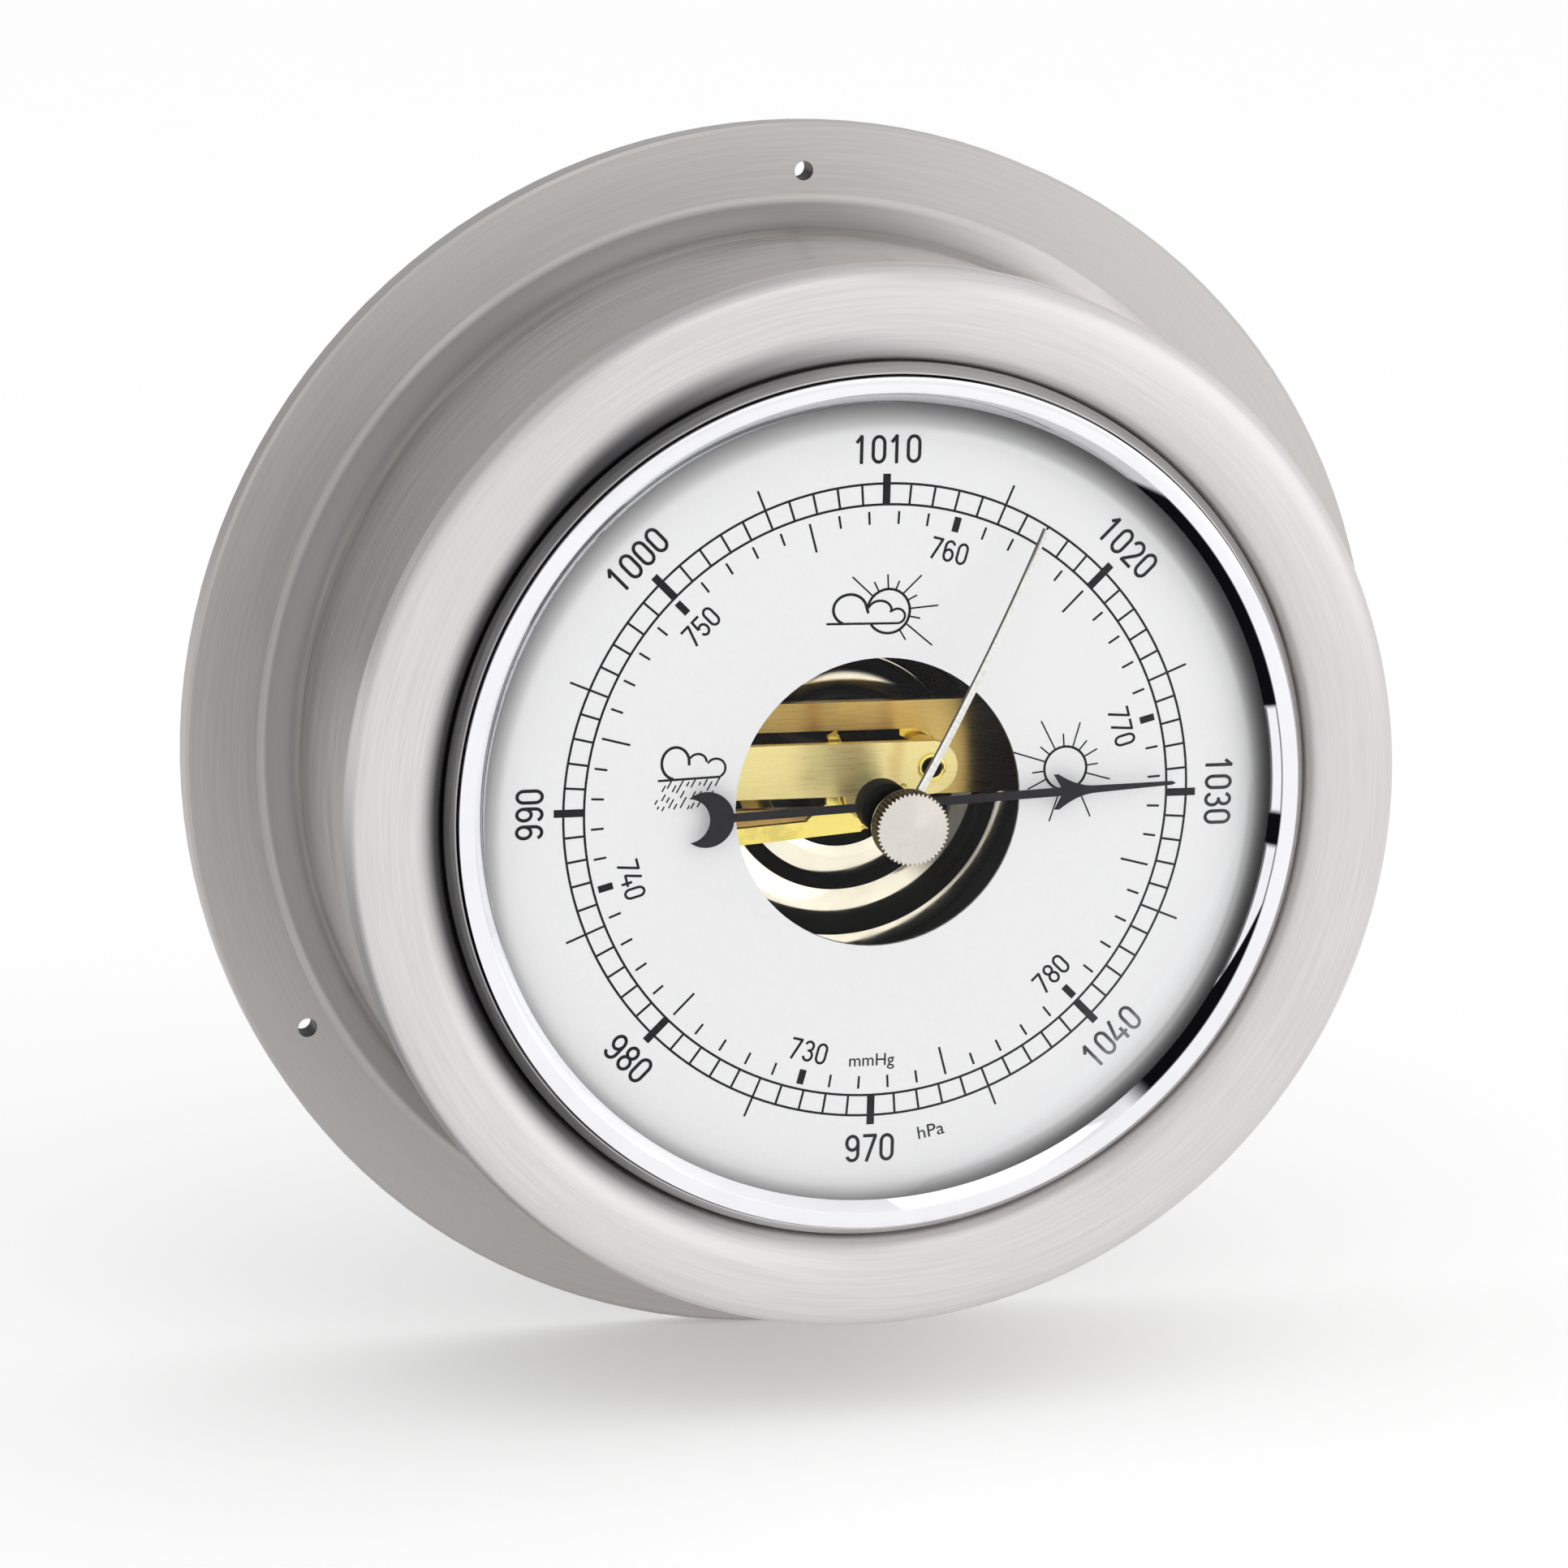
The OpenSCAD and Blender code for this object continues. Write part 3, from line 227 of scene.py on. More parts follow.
def tidy(bm):
    """Merges what doubles and turns all the faces outwards."""
    bmesh.ops.remove_doubles(bm, verts=bm.verts, dist=2e-6)
    bmesh.ops.recalc_face_normals(bm, faces=bm.faces)


def spun(profile, steps, closed=True, centre=(0, 0), bm=None):
    """Spins a profile of radius and height round an axis that stands on the dial at centre."""
    bm = bm or bmesh.new()
    place = at(*centre) - at(0, 0)
    verts = [bm.verts.new(at(r, 0, z) + place) for r, z in profile]
    edges = [bm.edges.new(pair) for pair in zip(verts, verts[1:] + verts[:int(closed)])]
    bmesh.ops.spin(
        bm, geom=verts + edges, cent=place, axis=AXIS, dvec=(0, 0, 0),
        angle=2 * pi, steps=steps, use_merge=True, use_duplicate=False,
    )
    tidy(bm)
    return bm


def bevel(bm, geom, offset, segments, affect):
    bmesh.ops.bevel(
        bm, geom=geom, offset=offset, offset_type="OFFSET", segments=segments,
        profile=0.5, affect=affect, clamp_overlap=True, material=-1,
    )


def rounded(corners, radius):
    """Rounds the corners of a closed profile: a wire whose vertices are bevelled."""
    bm = bmesh.new()
    verts = [bm.verts.new((x, y, 0)) for x, y in corners]
    for pair in zip(verts, verts[1:] + verts[:1]):
        bm.edges.new(pair)
    bevel(bm, verts + bm.edges[:], radius, 4, "VERTICES")
    ring = bm.verts[:1]
    while len(ring) < len(bm.verts):
        ways = (e.other_vert(ring[-1]) for e in ring[-1].link_edges)
        ring.append(next(v for v in ways if v not in ring[-2:]))
    points = [(v.co.x, v.co.y) for v in ring]
    bm.free()
    return points


def dressed(node, edge, least=35):
    """A copy of a CAD node with its loose triangles merged and its sharp edges rounded."""
    bm = bmesh.new()
    bm.from_mesh(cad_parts[node].data)
    bmesh.ops.remove_doubles(bm, verts=bm.verts, dist=1e-6)
    bmesh.ops.dissolve_limit(
        bm, angle_limit=radians(0.5), use_dissolve_boundaries=False, verts=bm.verts, edges=bm.edges
    )
    sharp = [e for e in bm.edges if e.is_manifold and e.calc_face_angle(0) > radians(least)]
    bevel(bm, sharp, edge * MM, 1, "EDGES")
    return bm


# --- print

# Height of the print over the dial, to the middle of the ink, and half the ink's thickness
PRINT, HALF_INK = 0.025, 0.01


def drawn(curve):
    """A curve or a word as a bmesh."""
    obj = linked(curve.name, curve)
    bpy.context.view_layer.update()
    mesh = bpy.data.meshes.new_from_object(obj.evaluated_get(bpy.context.evaluated_depsgraph_get()))
    bpy.data.objects.remove(obj)
    bm = bmesh.new()
    bm.from_mesh(mesh)
    return bm


def printed(name, strokes, ink):
    """Prints strokes on the dial. A stroke is its points, in millimetres, and its width."""
    curve = bpy.data.curves.new(name, "CURVE")
    curve.dimensions = "3D"
    curve.bevel_depth = 1.0
    curve.bevel_resolution = 0
    curve.use_fill_caps = True
    for points, width in strokes:
        spline = curve.splines.new("POLY")
        spline.use_cyclic_u = dist(points[0], points[-1]) < 1e-3
        points = points[:-1] if spline.use_cyclic_u else points
        spline.points.add(len(points) - 1)
        for point, (x, y) in zip(spline.points, points):
            point.co = (x, y, 0, 1)
            point.radius = width / 2
    bm = drawn(curve)
    for vert in bm.verts:
        x, y, z = vert.co
        vert.co = at(x, y, PRINT + max(-HALF_INK, min(HALF_INK, z)))
    tidy(bm)
    piece(name, bm, ink, "case")


def printed_word(name, text, ink, centre, turn, wide, high):
    """Prints a short word, wide and high in millimetres and turned by degrees, round a centre on the dial."""
    letters = bpy.data.curves.new(name, "FONT")
    letters.body = text
    letters.extrude = HALF_INK
    letters.resolution_u = 4
    bm = drawn(letters)
    bmesh.ops.remove_doubles(bm, verts=bm.verts, dist=1e-5)
    low, top = (Vector([end(v.co[i] for v in bm.verts) for i in (0, 1)]) for end in (min, max))
    middle, size = (low + top) / 2, top - low
    c, s = cos(radians(turn)), sin(radians(turn))
    for vert in bm.verts:
        u, v = (vert.co.x - middle.x) / size.x * wide, (vert.co.y - middle.y) / size.y * high
        z = PRINT + copysign(HALF_INK, vert.co.z)
        vert.co = at(centre[0] + u * c - v * s, centre[1] + u * s + v * c, z)
    bmesh.ops.recalc_face_normals(bm, faces=bm.faces)
    piece(name, bm, ink, "case")


def ticks(radius, start, count, tenth, fifth, other):
    """Marks round the dial. Every tenth, every fifth and each other one is its two ends and its width."""
    strokes = []
    for i in range(count):
        low, high, width = tenth if i % 10 == 0 else fifth if i % 5 == 0 else other
        a = start + 360 / count * i
        strokes.append(([clock(low * radius, a), clock(high * radius, a)], width))
    return strokes


def lines(ends, width):
    """Straight strokes, each from its first x, y to its second."""
    return [([(a, b), (c, d)], width) for a, b, c, d in ends]


# Digits as strokes in a cell that is CELL wide and 1 high
CELL = 0.627
LEFT, RIGHT, MIDDLE, HALF = 0.109, 0.518, 0.3135, 0.2045
FOOT, TOP = 0.0575, 0.9425
HOOK = arc(MIDDLE, 0.29, HALF, 0.2325, 0, -158, 14)
DIGITS = {
    "0": [
        arc(MIDDLE, TOP - 0.24, HALF, 0.24, 0, 180, 14) + arc(MIDDLE, FOOT + 0.24, HALF, 0.24, 180, 360, 14)
        + [(MIDDLE + HALF, TOP - 0.24)],
    ],
    "1": [[(MIDDLE - 0.17, 0.735), (MIDDLE + 0.03, 0.985)], [(MIDDLE + 0.01, 1.0), (MIDDLE + 0.01, 0.0)]],
    "2": [
        arc(MIDDLE, TOP - 0.235, HALF, 0.235, 172, -18, 14) + [(0.44, 0.5), (LEFT + 0.01, FOOT + 0.02)],
        [(LEFT - 0.035, FOOT), (RIGHT + 0.045, FOOT)],
    ],
    "3": [
        arc(MIDDLE - 0.01, 0.735, HALF - 0.015, 0.2075, 165, -90, 14),
        arc(MIDDLE, 0.2925, HALF, 0.235, 90, -165, 16),
        [(MIDDLE - 0.06, 0.5275), (MIDDLE + 0.01, 0.5275)],
    ],
    "4": [[(0.30, 1.0), (0.055, 0.27)], [(0.03, 0.27), (0.585, 0.27)], [(0.43, 0.5), (0.43, 0.0)]],
    "5": [
        [(RIGHT + 0.02, TOP), (LEFT + 0.01, TOP)], [(LEFT + 0.03, 0.985), (LEFT + 0.01, 0.47)],
        arc(MIDDLE, 0.315, HALF, 0.2575, 150, -160, 18),
    ],
    "7": [[(LEFT - 0.04, TOP), (RIGHT + 0.05, TOP)], [(RIGHT + 0.01, 0.95), (MIDDLE - 0.11, 0.0)]],
    "8": [
        arc(MIDDLE, 0.735, HALF - 0.02, 0.2075, 90, 450, 24),
        arc(MIDDLE, 0.2925, HALF, 0.235, 90, 450, 24),
    ],
    "9": [arc(MIDDLE, 0.69, HALF, 0.2525, 0, 360, 24), [(RIGHT, 0.69), (RIGHT, 0.29)] + HOOK[1:]],
}
DIGITS["6"] = [[(2 * MIDDLE - x, 1 - y) for x, y in stroke] for stroke in DIGITS["9"]]


def number(value, radius, angle, height, width):
    """Strokes of a number across a radius. Its top points outwards, or inwards in the dial's lower half."""
    turn = -radians(angle if cos(radians(angle)) > -0.01 else angle + 180)
    cx, cy = clock(radius, angle)
    strokes = []
    for i, letter in enumerate(str(value)):
        for stroke in DIGITS[letter]:
            points = []
            for x, y in stroke:
                u, v = (x + i * CELL - len(str(value)) * CELL / 2) * height, (y - 0.5) * height
                points.append((cx + u * cos(turn) - v * sin(turn), cy + u * sin(turn) + v * cos(turn)))
            strokes.append((points, width))
    return strokes


def change_sign():
    """A cloud before a sun."""
    cloud = [
        (arc(-4.05, 23.05, 2.0, 1.78, 245, 8) + [(-1.82, 22.55)], 0.33),
        (arc(-0.45, 22.85, 1.42, 1.15, 165, 5) + [(0.85, 22.6)], 0.29),
        (arc(1.68, 22.15, 0.92, 0.86, 135, -85) + [(-6.85, 21.4)], 0.27),
    ]
    sun = [(arc(0.6, 22.75, 2.58, 2.62, 168, -144), 0.31)]
    rays = [
        (-3.85, 26.9, -1.35, 24.6), (-1.2, 26.25, -0.6, 25.1), (0.42, 27.1, 0.52, 25.35),
        (1.85, 26.3, 1.45, 25.3), (4.5, 26.9, 2.3, 24.75), (4.0, 24.55, 2.9, 24.0),
        (6.6, 23.28, 3.15, 23.0), (4.45, 21.8, 3.1, 22.1), (6.0, 18.55, 2.8, 21.2), (2.75, 19.3, 2.0, 20.5),
    ]
    return cloud + sun + lines(rays, 0.19)


def rain_sign():
    """A cloud with leaning drops, each its upper end and its length."""
    cloud = [
        (arc(-24.55, 5.5, 1.65, 1.88, 262, 15) + [(-22.92, 5.2)], 0.33),
        (arc(-21.9, 5.55, 1.05, 0.97, 150, 0), 0.27),
        (arc(-19.72, 4.78, 1.14, 1.12, 148, -58), 0.27),
        ([(-19.1, 3.74), (-26.6, 3.47)], 0.27),
    ]
    drops = [
        (-25.0, 3.4, 1.0), (-25.7, 2.9, 0.85), (-24.45, 2.9, 0.9), (-23.55, 3.5, 1.75), (-22.9, 3.25, 0.6),
        (-22.15, 3.5, 1.05), (-21.5, 3.2, 0.45), (-20.7, 3.5, 0.9), (-20.15, 3.2, 1.2), (-19.2, 3.7, 1.2),
        (-23.45, 2.2, 0.95), (-22.1, 2.1, 0.7), (-21.4, 2.1, 0.95), (-20.0, 2.1, 0.8), (-25.7, 1.85, 0.9),
        (-25.2, 1.5, 0.75), (-26.65, 1.2, 0.6), (-24.7, 1.25, 1.2), (-23.2, 1.45, 1.45), (-24.3, 0.7, 0.75),
        (-25.8, 0.4, 0.6), (-26.45, 0.45, 0.4), (-22.8, 0.45, 0.5), (-22.25, 0.75, 0.8), (-21.5, 0.9, 0.8),
    ]
    c, s = cos(radians(241)), sin(radians(241))
    return cloud + lines([(x, y, x + long * c, y + long * s) for x, y, long in drops], 0.17)


def fair_sign():
    """A sun."""
    sun = [(arc(22.75, 3.35, 2.58, 2.6, 0, 360, 48), 0.29)]
    rays = [
        (19.6, 9.1, 21.4, 5.7), (22.38, 7.5, 22.5, 5.98), (24.4, 8.8, 23.6, 5.9), (25.3, 6.6, 24.4, 5.5),
        (26.6, 5.55, 25.1, 4.72), (26.75, 3.8, 25.38, 3.62), (28.3, 1.85, 25.25, 2.72),
        (26.0, -2.6, 24.25, 1.2), (20.95, -3.0, 22.2, 0.85), (18.2, 0.95, 20.4, 2.08),
        (18.7, 2.9, 20.12, 3.05), (16.3, 5.45, 20.25, 4.2), (19.6, 6.0, 20.75, 5.05),
    ]
    return sun + lines(rays, 0.18)


# --- shader nodes


class Nodes:
    """Short names for the shader nodes that the finishes share."""

    def __init__(self, tree):
        self.tree = tree

    def put(self, socket, value):
        if isinstance(value, bpy.types.NodeSocket):
            self.tree.links.new(value, socket)
        elif socket.type == "RGBA" and len(value) == 3:
            socket.default_value = (*value, 1)
        else:
            socket.default_value = value

    def fill(self, node, **sockets):
        for name, value in sockets.items():
            self.put(node.inputs[name.replace("_", " ")], value)
        return node

    def node(self, kind, *values, out=0, **settings):
        new = self.tree.nodes.new(kind)
        for key, value in settings.items():
            setattr(new, key, value)
        for socket, value in zip(new.inputs, values):
            if value is not None:
                self.put(socket, value)
        return new.outputs[out]

    def math(self, operation, *values):
        """A calculation that is carried on from value to value."""
        total = self.node("ShaderNodeMath", *values[:2], operation=operation)
        for value in values[2:]:
            total = self.node("ShaderNodeMath", total, value, operation=operation)
        return total

    plus = partialmethod(math, "ADD")
    less = partialmethod(math, "SUBTRACT")
    times = partialmethod(math, "MULTIPLY")
    most = partialmethod(math, "MAXIMUM")

    def vector(self, operation, a, b=(0, 0, 0), out=0):
        return self.node("ShaderNodeVectorMath", a, b, operation=operation, out=out)

    def part(self, vector, axis):
        return self.node("ShaderNodeSeparateXYZ", vector, out=axis)

    def ramp(self, value, low, high, bottom=0.0, top=1.0):
        """Goes softly from bottom to top while a value goes from low to high."""
        return self.node("ShaderNodeMapRange", value, low, high, bottom, top, interpolation_type="SMOOTHSTEP")

    fall = partialmethod(ramp, bottom=1.0, top=0.0)

    def band(self, value, start, end, soft):
        """1 between start and end, with soft limits."""
        rise = self.ramp(value, start - soft, start + soft)
        return self.times(rise, self.fall(value, end - soft, end + soft))

    def blend(self, share, a, b):
        # A Mix node's colours are its inputs 6 and 7 and its output 2
        return self.node("ShaderNodeMix", share, *[None] * 5, a, b, out=2, data_type="RGBA")


class Finish(Nodes):
    """One procedural material. It counts places in Object coordinates."""

    def __init__(self, name, **sockets):
        self.material = bpy.data.materials.new(name)
        self.material.use_nodes = True
        super().__init__(self.material.node_tree)
        self.set(**sockets)

    def set(self, **sockets):
        self.fill(self.tree.nodes["Principled BSDF"], **sockets)

    def ready(self, colour, roughness, height, strength, distance=0.00001, **sockets):
        """The finished material. Height is what its bump is made of."""
        bump = self.fill(self.tree.nodes.new("ShaderNodeBump"), Height=height, Strength=strength, Distance=distance)
        self.set(Base_Color=colour, Roughness=roughness, Normal=bump.outputs[0], **sockets)
        return self.material

    def noise(self, scale, detail=3.0, roughness=0.55):
        """Noise that is as fine as its scale, or as a scale along each axis."""
        place = self.place
        if isinstance(scale, tuple):
            place, scale = self.vector("MULTIPLY", place, scale), 1.0
        return self.node("ShaderNodeTexNoise", place, None, scale, detail, roughness)

    @cached_property
    def place(self):
        return self.node("ShaderNodeTexCoord", out=3)

    @cached_property
    def depth(self):
        """Place along the dial's axis in metres: 0 at the wall, less towards the viewer."""
        return self.part(self.place, 1)

    @cached_property
    def flat(self):
        return self.vector("MULTIPLY", self.place, (1, 0, 1))

    @cached_property
    def radius(self):
        """Distance from the dial's axis, in millimetres."""
        return self.times(self.vector("LENGTH", self.flat, out=1), 1 / MM)

    @cached_property
    def outward(self):
        return self.vector("NORMALIZE", self.flat)

    def side(self, angle, low, high, bottom=0.0, top=1.0):
        """Goes from bottom to top towards a clockwise angle, while the cosine to it goes from low to high."""
        x, y = clock(1.0, angle)
        return self.ramp(self.vector("DOT_PRODUCT", self.outward, (x, 0.0, y), out=1), low, high, bottom, top)

    def round_strokes(self, stroke, length, detail=3.0):
        """Brush strokes that run round the axis, and the direction that they run in."""
        across = self.node("ShaderNodeCombineXYZ", 0.0, self.times(self.radius, MM / stroke), 0.0)
        along = self.node("ShaderNodeVectorMath", self.outward, None, None, length, operation="SCALE")
        depth = self.times(self.depth, 1 / stroke)
        turned = self.vector("ADD", along, across)
        strokes = self.node("ShaderNodeTexNoise", turned, depth, 1.0, detail, 0.55, noise_dimensions="4D")
        way = self.node(
            "ShaderNodeVectorTransform", self.vector("CROSS_PRODUCT", self.outward, AXIS),
            vector_type="VECTOR", convert_from="OBJECT", convert_to="WORLD",
        )
        return strokes, way


# --- materials


def tinted(colour, factor):
    """A colour made lighter or darker."""
    return tuple(min(1.0, c * factor) for c in colour)


def brushed_steel(name, colour, roughness, stroke, shade):
    """Steel that was brushed while it turned in the lathe. Shade paints shade, and on the case a seam, into its
    tone by place.
    """
    f = Finish(name, Metallic=1.0, Anisotropic=0.75, Anisotropic_Rotation=0.25)
    strokes, way = f.round_strokes(stroke, 5.0)
    cloud = f.noise(22.0, 2.0)
    tone = f.blend(f.ramp(strokes, 0.3, 0.7), tinted(colour, 0.93), tinted(colour, 1.05))
    tone = f.blend(f.ramp(cloud, 0.35, 0.7, 0.0, 0.35), tone, tinted(colour, 0.95))
    rough = f.ramp(strokes, 0.25, 0.75, roughness * 0.85, roughness * 1.2)
    return f.ready(shade(f, tone, colour), rough, strokes, 0.12, 0.00002, Tangent=way)


def case_shade(f, tone, colour):
    """Paints shade on the left side, in the fillet and in the screw holes, and draws the barrel's seam."""
    # Painted shade: the left side, and the fillet on its left, are painted darker
    fillet = f.times(f.band(f.radius, 62.1, 65.6, 0.5), f.fall(f.depth, -0.0043, -0.0036))
    fillet_shade = f.times(fillet, f.side(288, -0.35, 0.4, 0.0, 0.6))
    tone = f.blend(f.most(f.side(255, 0.3, 0.95, 0.0, 0.24), fillet_shade), tone, tinted(colour, 0.12))
    # Painted shade: each screw hole's wall is painted near black
    hole_circle, hole, edge = 69.2 * MM, 1.152 * MM, 0.038 * MM
    for angle in (0, 120, 240):
        x, y = clock(hole_circle, angle)
        gap = f.vector("DISTANCE", f.flat, (x, 0.0, y), out=1)
        tone = f.blend(f.ramp(gap, hole, hole + edge, 0.97, 0.0), tone, (0.01, 0.01, 0.01))
    seam_x = 4.5 * MM
    across = f.math("ABSOLUTE", f.less(f.part(f.place, 0), seam_x))
    upper = f.ramp(f.part(f.place, 2), 0.0, 0.01)
    wall = f.fall(f.depth, -0.036, -0.012)
    return f.blend(f.times(f.ramp(across, 0.0002, 0.0009, 0.25, 0.0), upper, wall), tone, tinted(colour, 0.5))


def bezel_shade(f, tone, colour):
    """Paints shade and dark reflections in the valley, on the lip and low on the outer flank."""
    left = f.side(280, -0.1, 0.8, 0.0, 0.88)
    fade = f.fall(f.less(f.radius, f.side(337, 0.83, 1.0, 53.9, 55.1)), -0.9, 2.1)
    lip_end = 51.9, 52.15
    valley = f.times(f.ramp(f.radius, *lip_end), fade, left)
    low = f.ramp(f.depth, -0.0472, -0.0465)
    either = f.most(left, f.side(50, 0.2, 0.9, 0.0, 0.5))
    lip = f.times(f.ramp(f.radius, *lip_end, 0.5, 0.0), low, either)
    flank = f.times(f.ramp(f.radius, 62.4, 63.3), f.side(240, 0.72, 1.0, 0.0, 0.7))
    return f.blend(f.most(valley, lip, flank), tone, (0.02, 0.018, 0.024))


def polished(name, colour, roughness, haze):
    """Mirror metal with the faint haze and fine wipe marks of a handled surface."""
    f = Finish(name, Metallic=1.0)
    wipes = f.noise((900, 900, 5000), 2.0)
    smear = f.noise(120.0)
    tone = f.blend(f.ramp(smear, 0.3, 0.8), colour, tinted(colour, 0.94))
    rough = f.plus(f.ramp(wipes, 0.5, 0.8, 0.0, haze * 0.4), f.ramp(smear, 0.45, 0.8, roughness, roughness + haze))
    return f.ready(tone, rough, wipes, 0.02)


def chrome():
    """Bright chrome whose inner bevel carries painted dark reflections, in streaks and along its edges."""
    f = Finish("ring_chrome", Metallic=1.0)
    turn = f.math("DEGREES", f.math("ARCTAN2", f.part(f.outward, 0), f.part(f.outward, 2)))
    angle = f.math("MODULO", f.plus(turn, 360.0), 360.0)
    # Painted dark reflections on the inner bevel. Two streaks start on a slant: their angle shifts with the
    # distance from the inner edge
    inner_edge = 47.7
    out = f.less(f.radius, inner_edge)
    upper_start = f.ramp(f.less(angle, f.times(out, 4.0)), 35.0, 39.0)
    upper = f.times(upper_start, f.fall(angle, 77.0, 77.9))
    notch_reflection = f.band(angle, 92.6, 97.6, 0.5)
    lower_start = f.ramp(f.plus(angle, f.times(out, 12.0)), 117.0, 119.0)
    lower = f.times(lower_start, f.fall(angle, 136.0, 141.0))
    # Painted dark lines along the bevel's edges, and a painted darker reflection towards the top
    edges = f.most(f.band(f.radius, 48.7, 48.85, 0.06), f.fall(f.radius, 47.75, 47.9))
    painted_edge_lines = f.times(edges, f.band(angle, 77.0, 118.0, 1.0), 0.85)
    top = f.side(10, 0.63, 0.87, 0.0, 0.35)
    dark = f.times(f.fall(f.radius, 48.75, 48.95), f.most(upper, notch_reflection, lower, top, painted_edge_lines))
    smear = f.noise(120.0)
    tone = f.blend(f.ramp(smear, 0.3, 0.8), (0.89, 0.89, 0.915), (0.85, 0.85, 0.88))
    tone = f.blend(dark, tone, (0.004, 0.004, 0.005))
    return f.ready(tone, f.ramp(smear, 0.4, 0.8, 0.03, 0.06), smear, 0.01)


def long_brushed(name, colour, dark, painted_reflections):
    """Brass plate brushed along its length, from left to right. Painted reflections are soft brown bands, each a
    place, a width and a strength.
    """
    stroke, length, wander = 0.12 * MM, 6 * MM, 2 * MM
    f = Finish(name, Metallic=1.0, Anisotropic=1.0)
    marks = f.noise((1 / length, 1 / stroke, 1 / stroke), 4.0, 0.7)
    patches = f.noise(260.0)
    tone = f.blend(f.ramp(marks, 0.32, 0.68), tinted(colour, dark), tinted(colour, 1.08))
    tone = f.blend(f.ramp(patches, 0.4, 0.75, 0.0, 0.35), tone, tinted(colour, 0.85))
    # The patches bend a painted reflection's edge. Their mean is a half, which its place makes up for
    x = f.plus(f.part(f.place, 0), f.times(patches, wander))
    for middle, wide, strength in painted_reflections:
        gap = f.math("ABSOLUTE", f.less(x, middle * MM + wander / 2))
        brown = (colour[0] * 0.62, colour[1] * 0.44, colour[2] * 0.3)
        tone = f.blend(f.ramp(gap, 0.0, wide * MM, strength, 0.0), tone, brown)
    upward = f.node("ShaderNodeCombineXYZ", 0.0, 0.0, 1.0)
    return f.ready(tone, f.ramp(marks, 0.25, 0.75, 0.24, 0.39), marks, 0.15, Tangent=upward)


def cut_brass(name, colour, roughness):
    """Stamped or turned brass, with fine tool marks and a little tarnish."""
    f = Finish(name, Metallic=1.0)
    marks, tarnish = f.noise(2400.0), f.noise(300.0, 4.0)
    tone = f.blend(f.ramp(tarnish, 0.45, 0.75), colour, tinted(colour, 0.78))
    return f.ready(tone, f.ramp(marks, 0.3, 0.7, roughness * 0.7, roughness * 1.4), marks, 0.1)


def skin_metal(colour):
    """Bright skin with painted dark reflections: dark rings under the plates, a dark right side and a dark middle.
    """
    f = Finish("capsule_skin", Metallic=1.0)
    # Painted dark reflection: the upper half is dark but for one wave's crest, a thin line and a short flare
    crest = f.times(f.band(f.radius, 10.75, 12.15, 0.35), f.side(5, 0.72, 0.85))
    line = f.band(f.radius, 14.25, 14.5, 0.12)
    flare = f.times(f.band(f.radius, 17.6, 18.5, 0.4), f.side(45, 0.95, 0.99))
    upper = f.times(f.side(5, 0.0, 0.25), f.less(1.0, f.most(crest, line, flare)))
    # Painted dark reflection on the right side, but for two streaks, and in the middle
    streaks = f.most(f.band(f.radius, 17.6, 18.4, 0.4), f.band(f.radius, 20.3, 21.2, 0.45))
    right = f.times(f.side(98, 0.62, 0.88), f.less(0.88, f.times(streaks, 0.8)))
    dark = f.most(upper, right, f.ramp(f.radius, 6.6, 7.9, 0.95, 0.0))
    wipes = f.noise(260.0)
    tone = f.blend(f.ramp(wipes, 0.35, 0.75), colour, tinted(colour, 0.93))
    tone = f.blend(dark, tone, (0.012, 0.01, 0.01))
    return f.ready(tone, f.ramp(wipes, 0.3, 0.8, 0.06, 0.12), wipes, 0.02)


def hand_steel():
    """Silvered blade with painted shade on its left flank and on the left of its tip."""
    f = Finish("hand_steel", Metallic=1.0)
    x, y = clock(1.0, HAND_ANGLE)
    reach = f.vector("DOT_PRODUCT", f.place, (x, 0.0, y), out=1)
    along = f.ramp(reach, HAND_START * MM, HAND_END * MM)
    side = f.vector("DOT_PRODUCT", f.place, (y / MM, 0.0, -x / MM), out=1)
    inward = f.plus(side, f.less(HAND_ROOT / 2, f.times(along, (HAND_ROOT - HAND_TIP) / 2)))
    # Painted shade along the left flank and on the left of the tip
    flank = f.ramp(inward, 0.17, 0.28, 0.95, 0.0)
    tip = f.times(f.ramp(along, 0.9, 1.0), f.ramp(inward, 0.28, 0.42, 0.8, 0.0))
    marks = f.noise((2500, 900, 2500))
    tone = f.blend(f.ramp(marks, 0.35, 0.75), (0.88, 0.87, 0.83), (0.74, 0.73, 0.69))
    tone = f.blend(f.most(flank, tip), tone, (0.04, 0.038, 0.035))
    return f.ready(tone, f.ramp(marks, 0.3, 0.7, 0.12, 0.22), marks, 0.05)


def knob_steel():
    """Nickel with a turned face, a few tarnish spots, and a painted dark brown reflection on its teeth."""
    f = Finish("knob_nickel", Metallic=1.0, Anisotropic=0.6, Anisotropic_Rotation=0.25)
    strokes, way = f.round_strokes(0.00009, 3.0, 2.0)
    spots = f.noise(900.0, 4.0)
    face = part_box("set_knob")[0].y
    tone = f.blend(f.ramp(strokes, 0.3, 0.7), (0.665, 0.63, 0.57), (0.72, 0.685, 0.625))
    tone = f.blend(f.ramp(spots, 0.6, 0.75, 0.0, 0.3), tone, (0.5, 0.46, 0.4))
    # Painted reflection: the teeth behind the face are painted dark brown
    tone = f.blend(f.ramp(f.depth, face + 0.34 * MM, face + 0.42 * MM), tone, (0.15, 0.12, 0.075))
    return f.ready(tone, f.ramp(strokes, 0.3, 0.7, 0.32, 0.4), strokes, 0.04, Tangent=way)


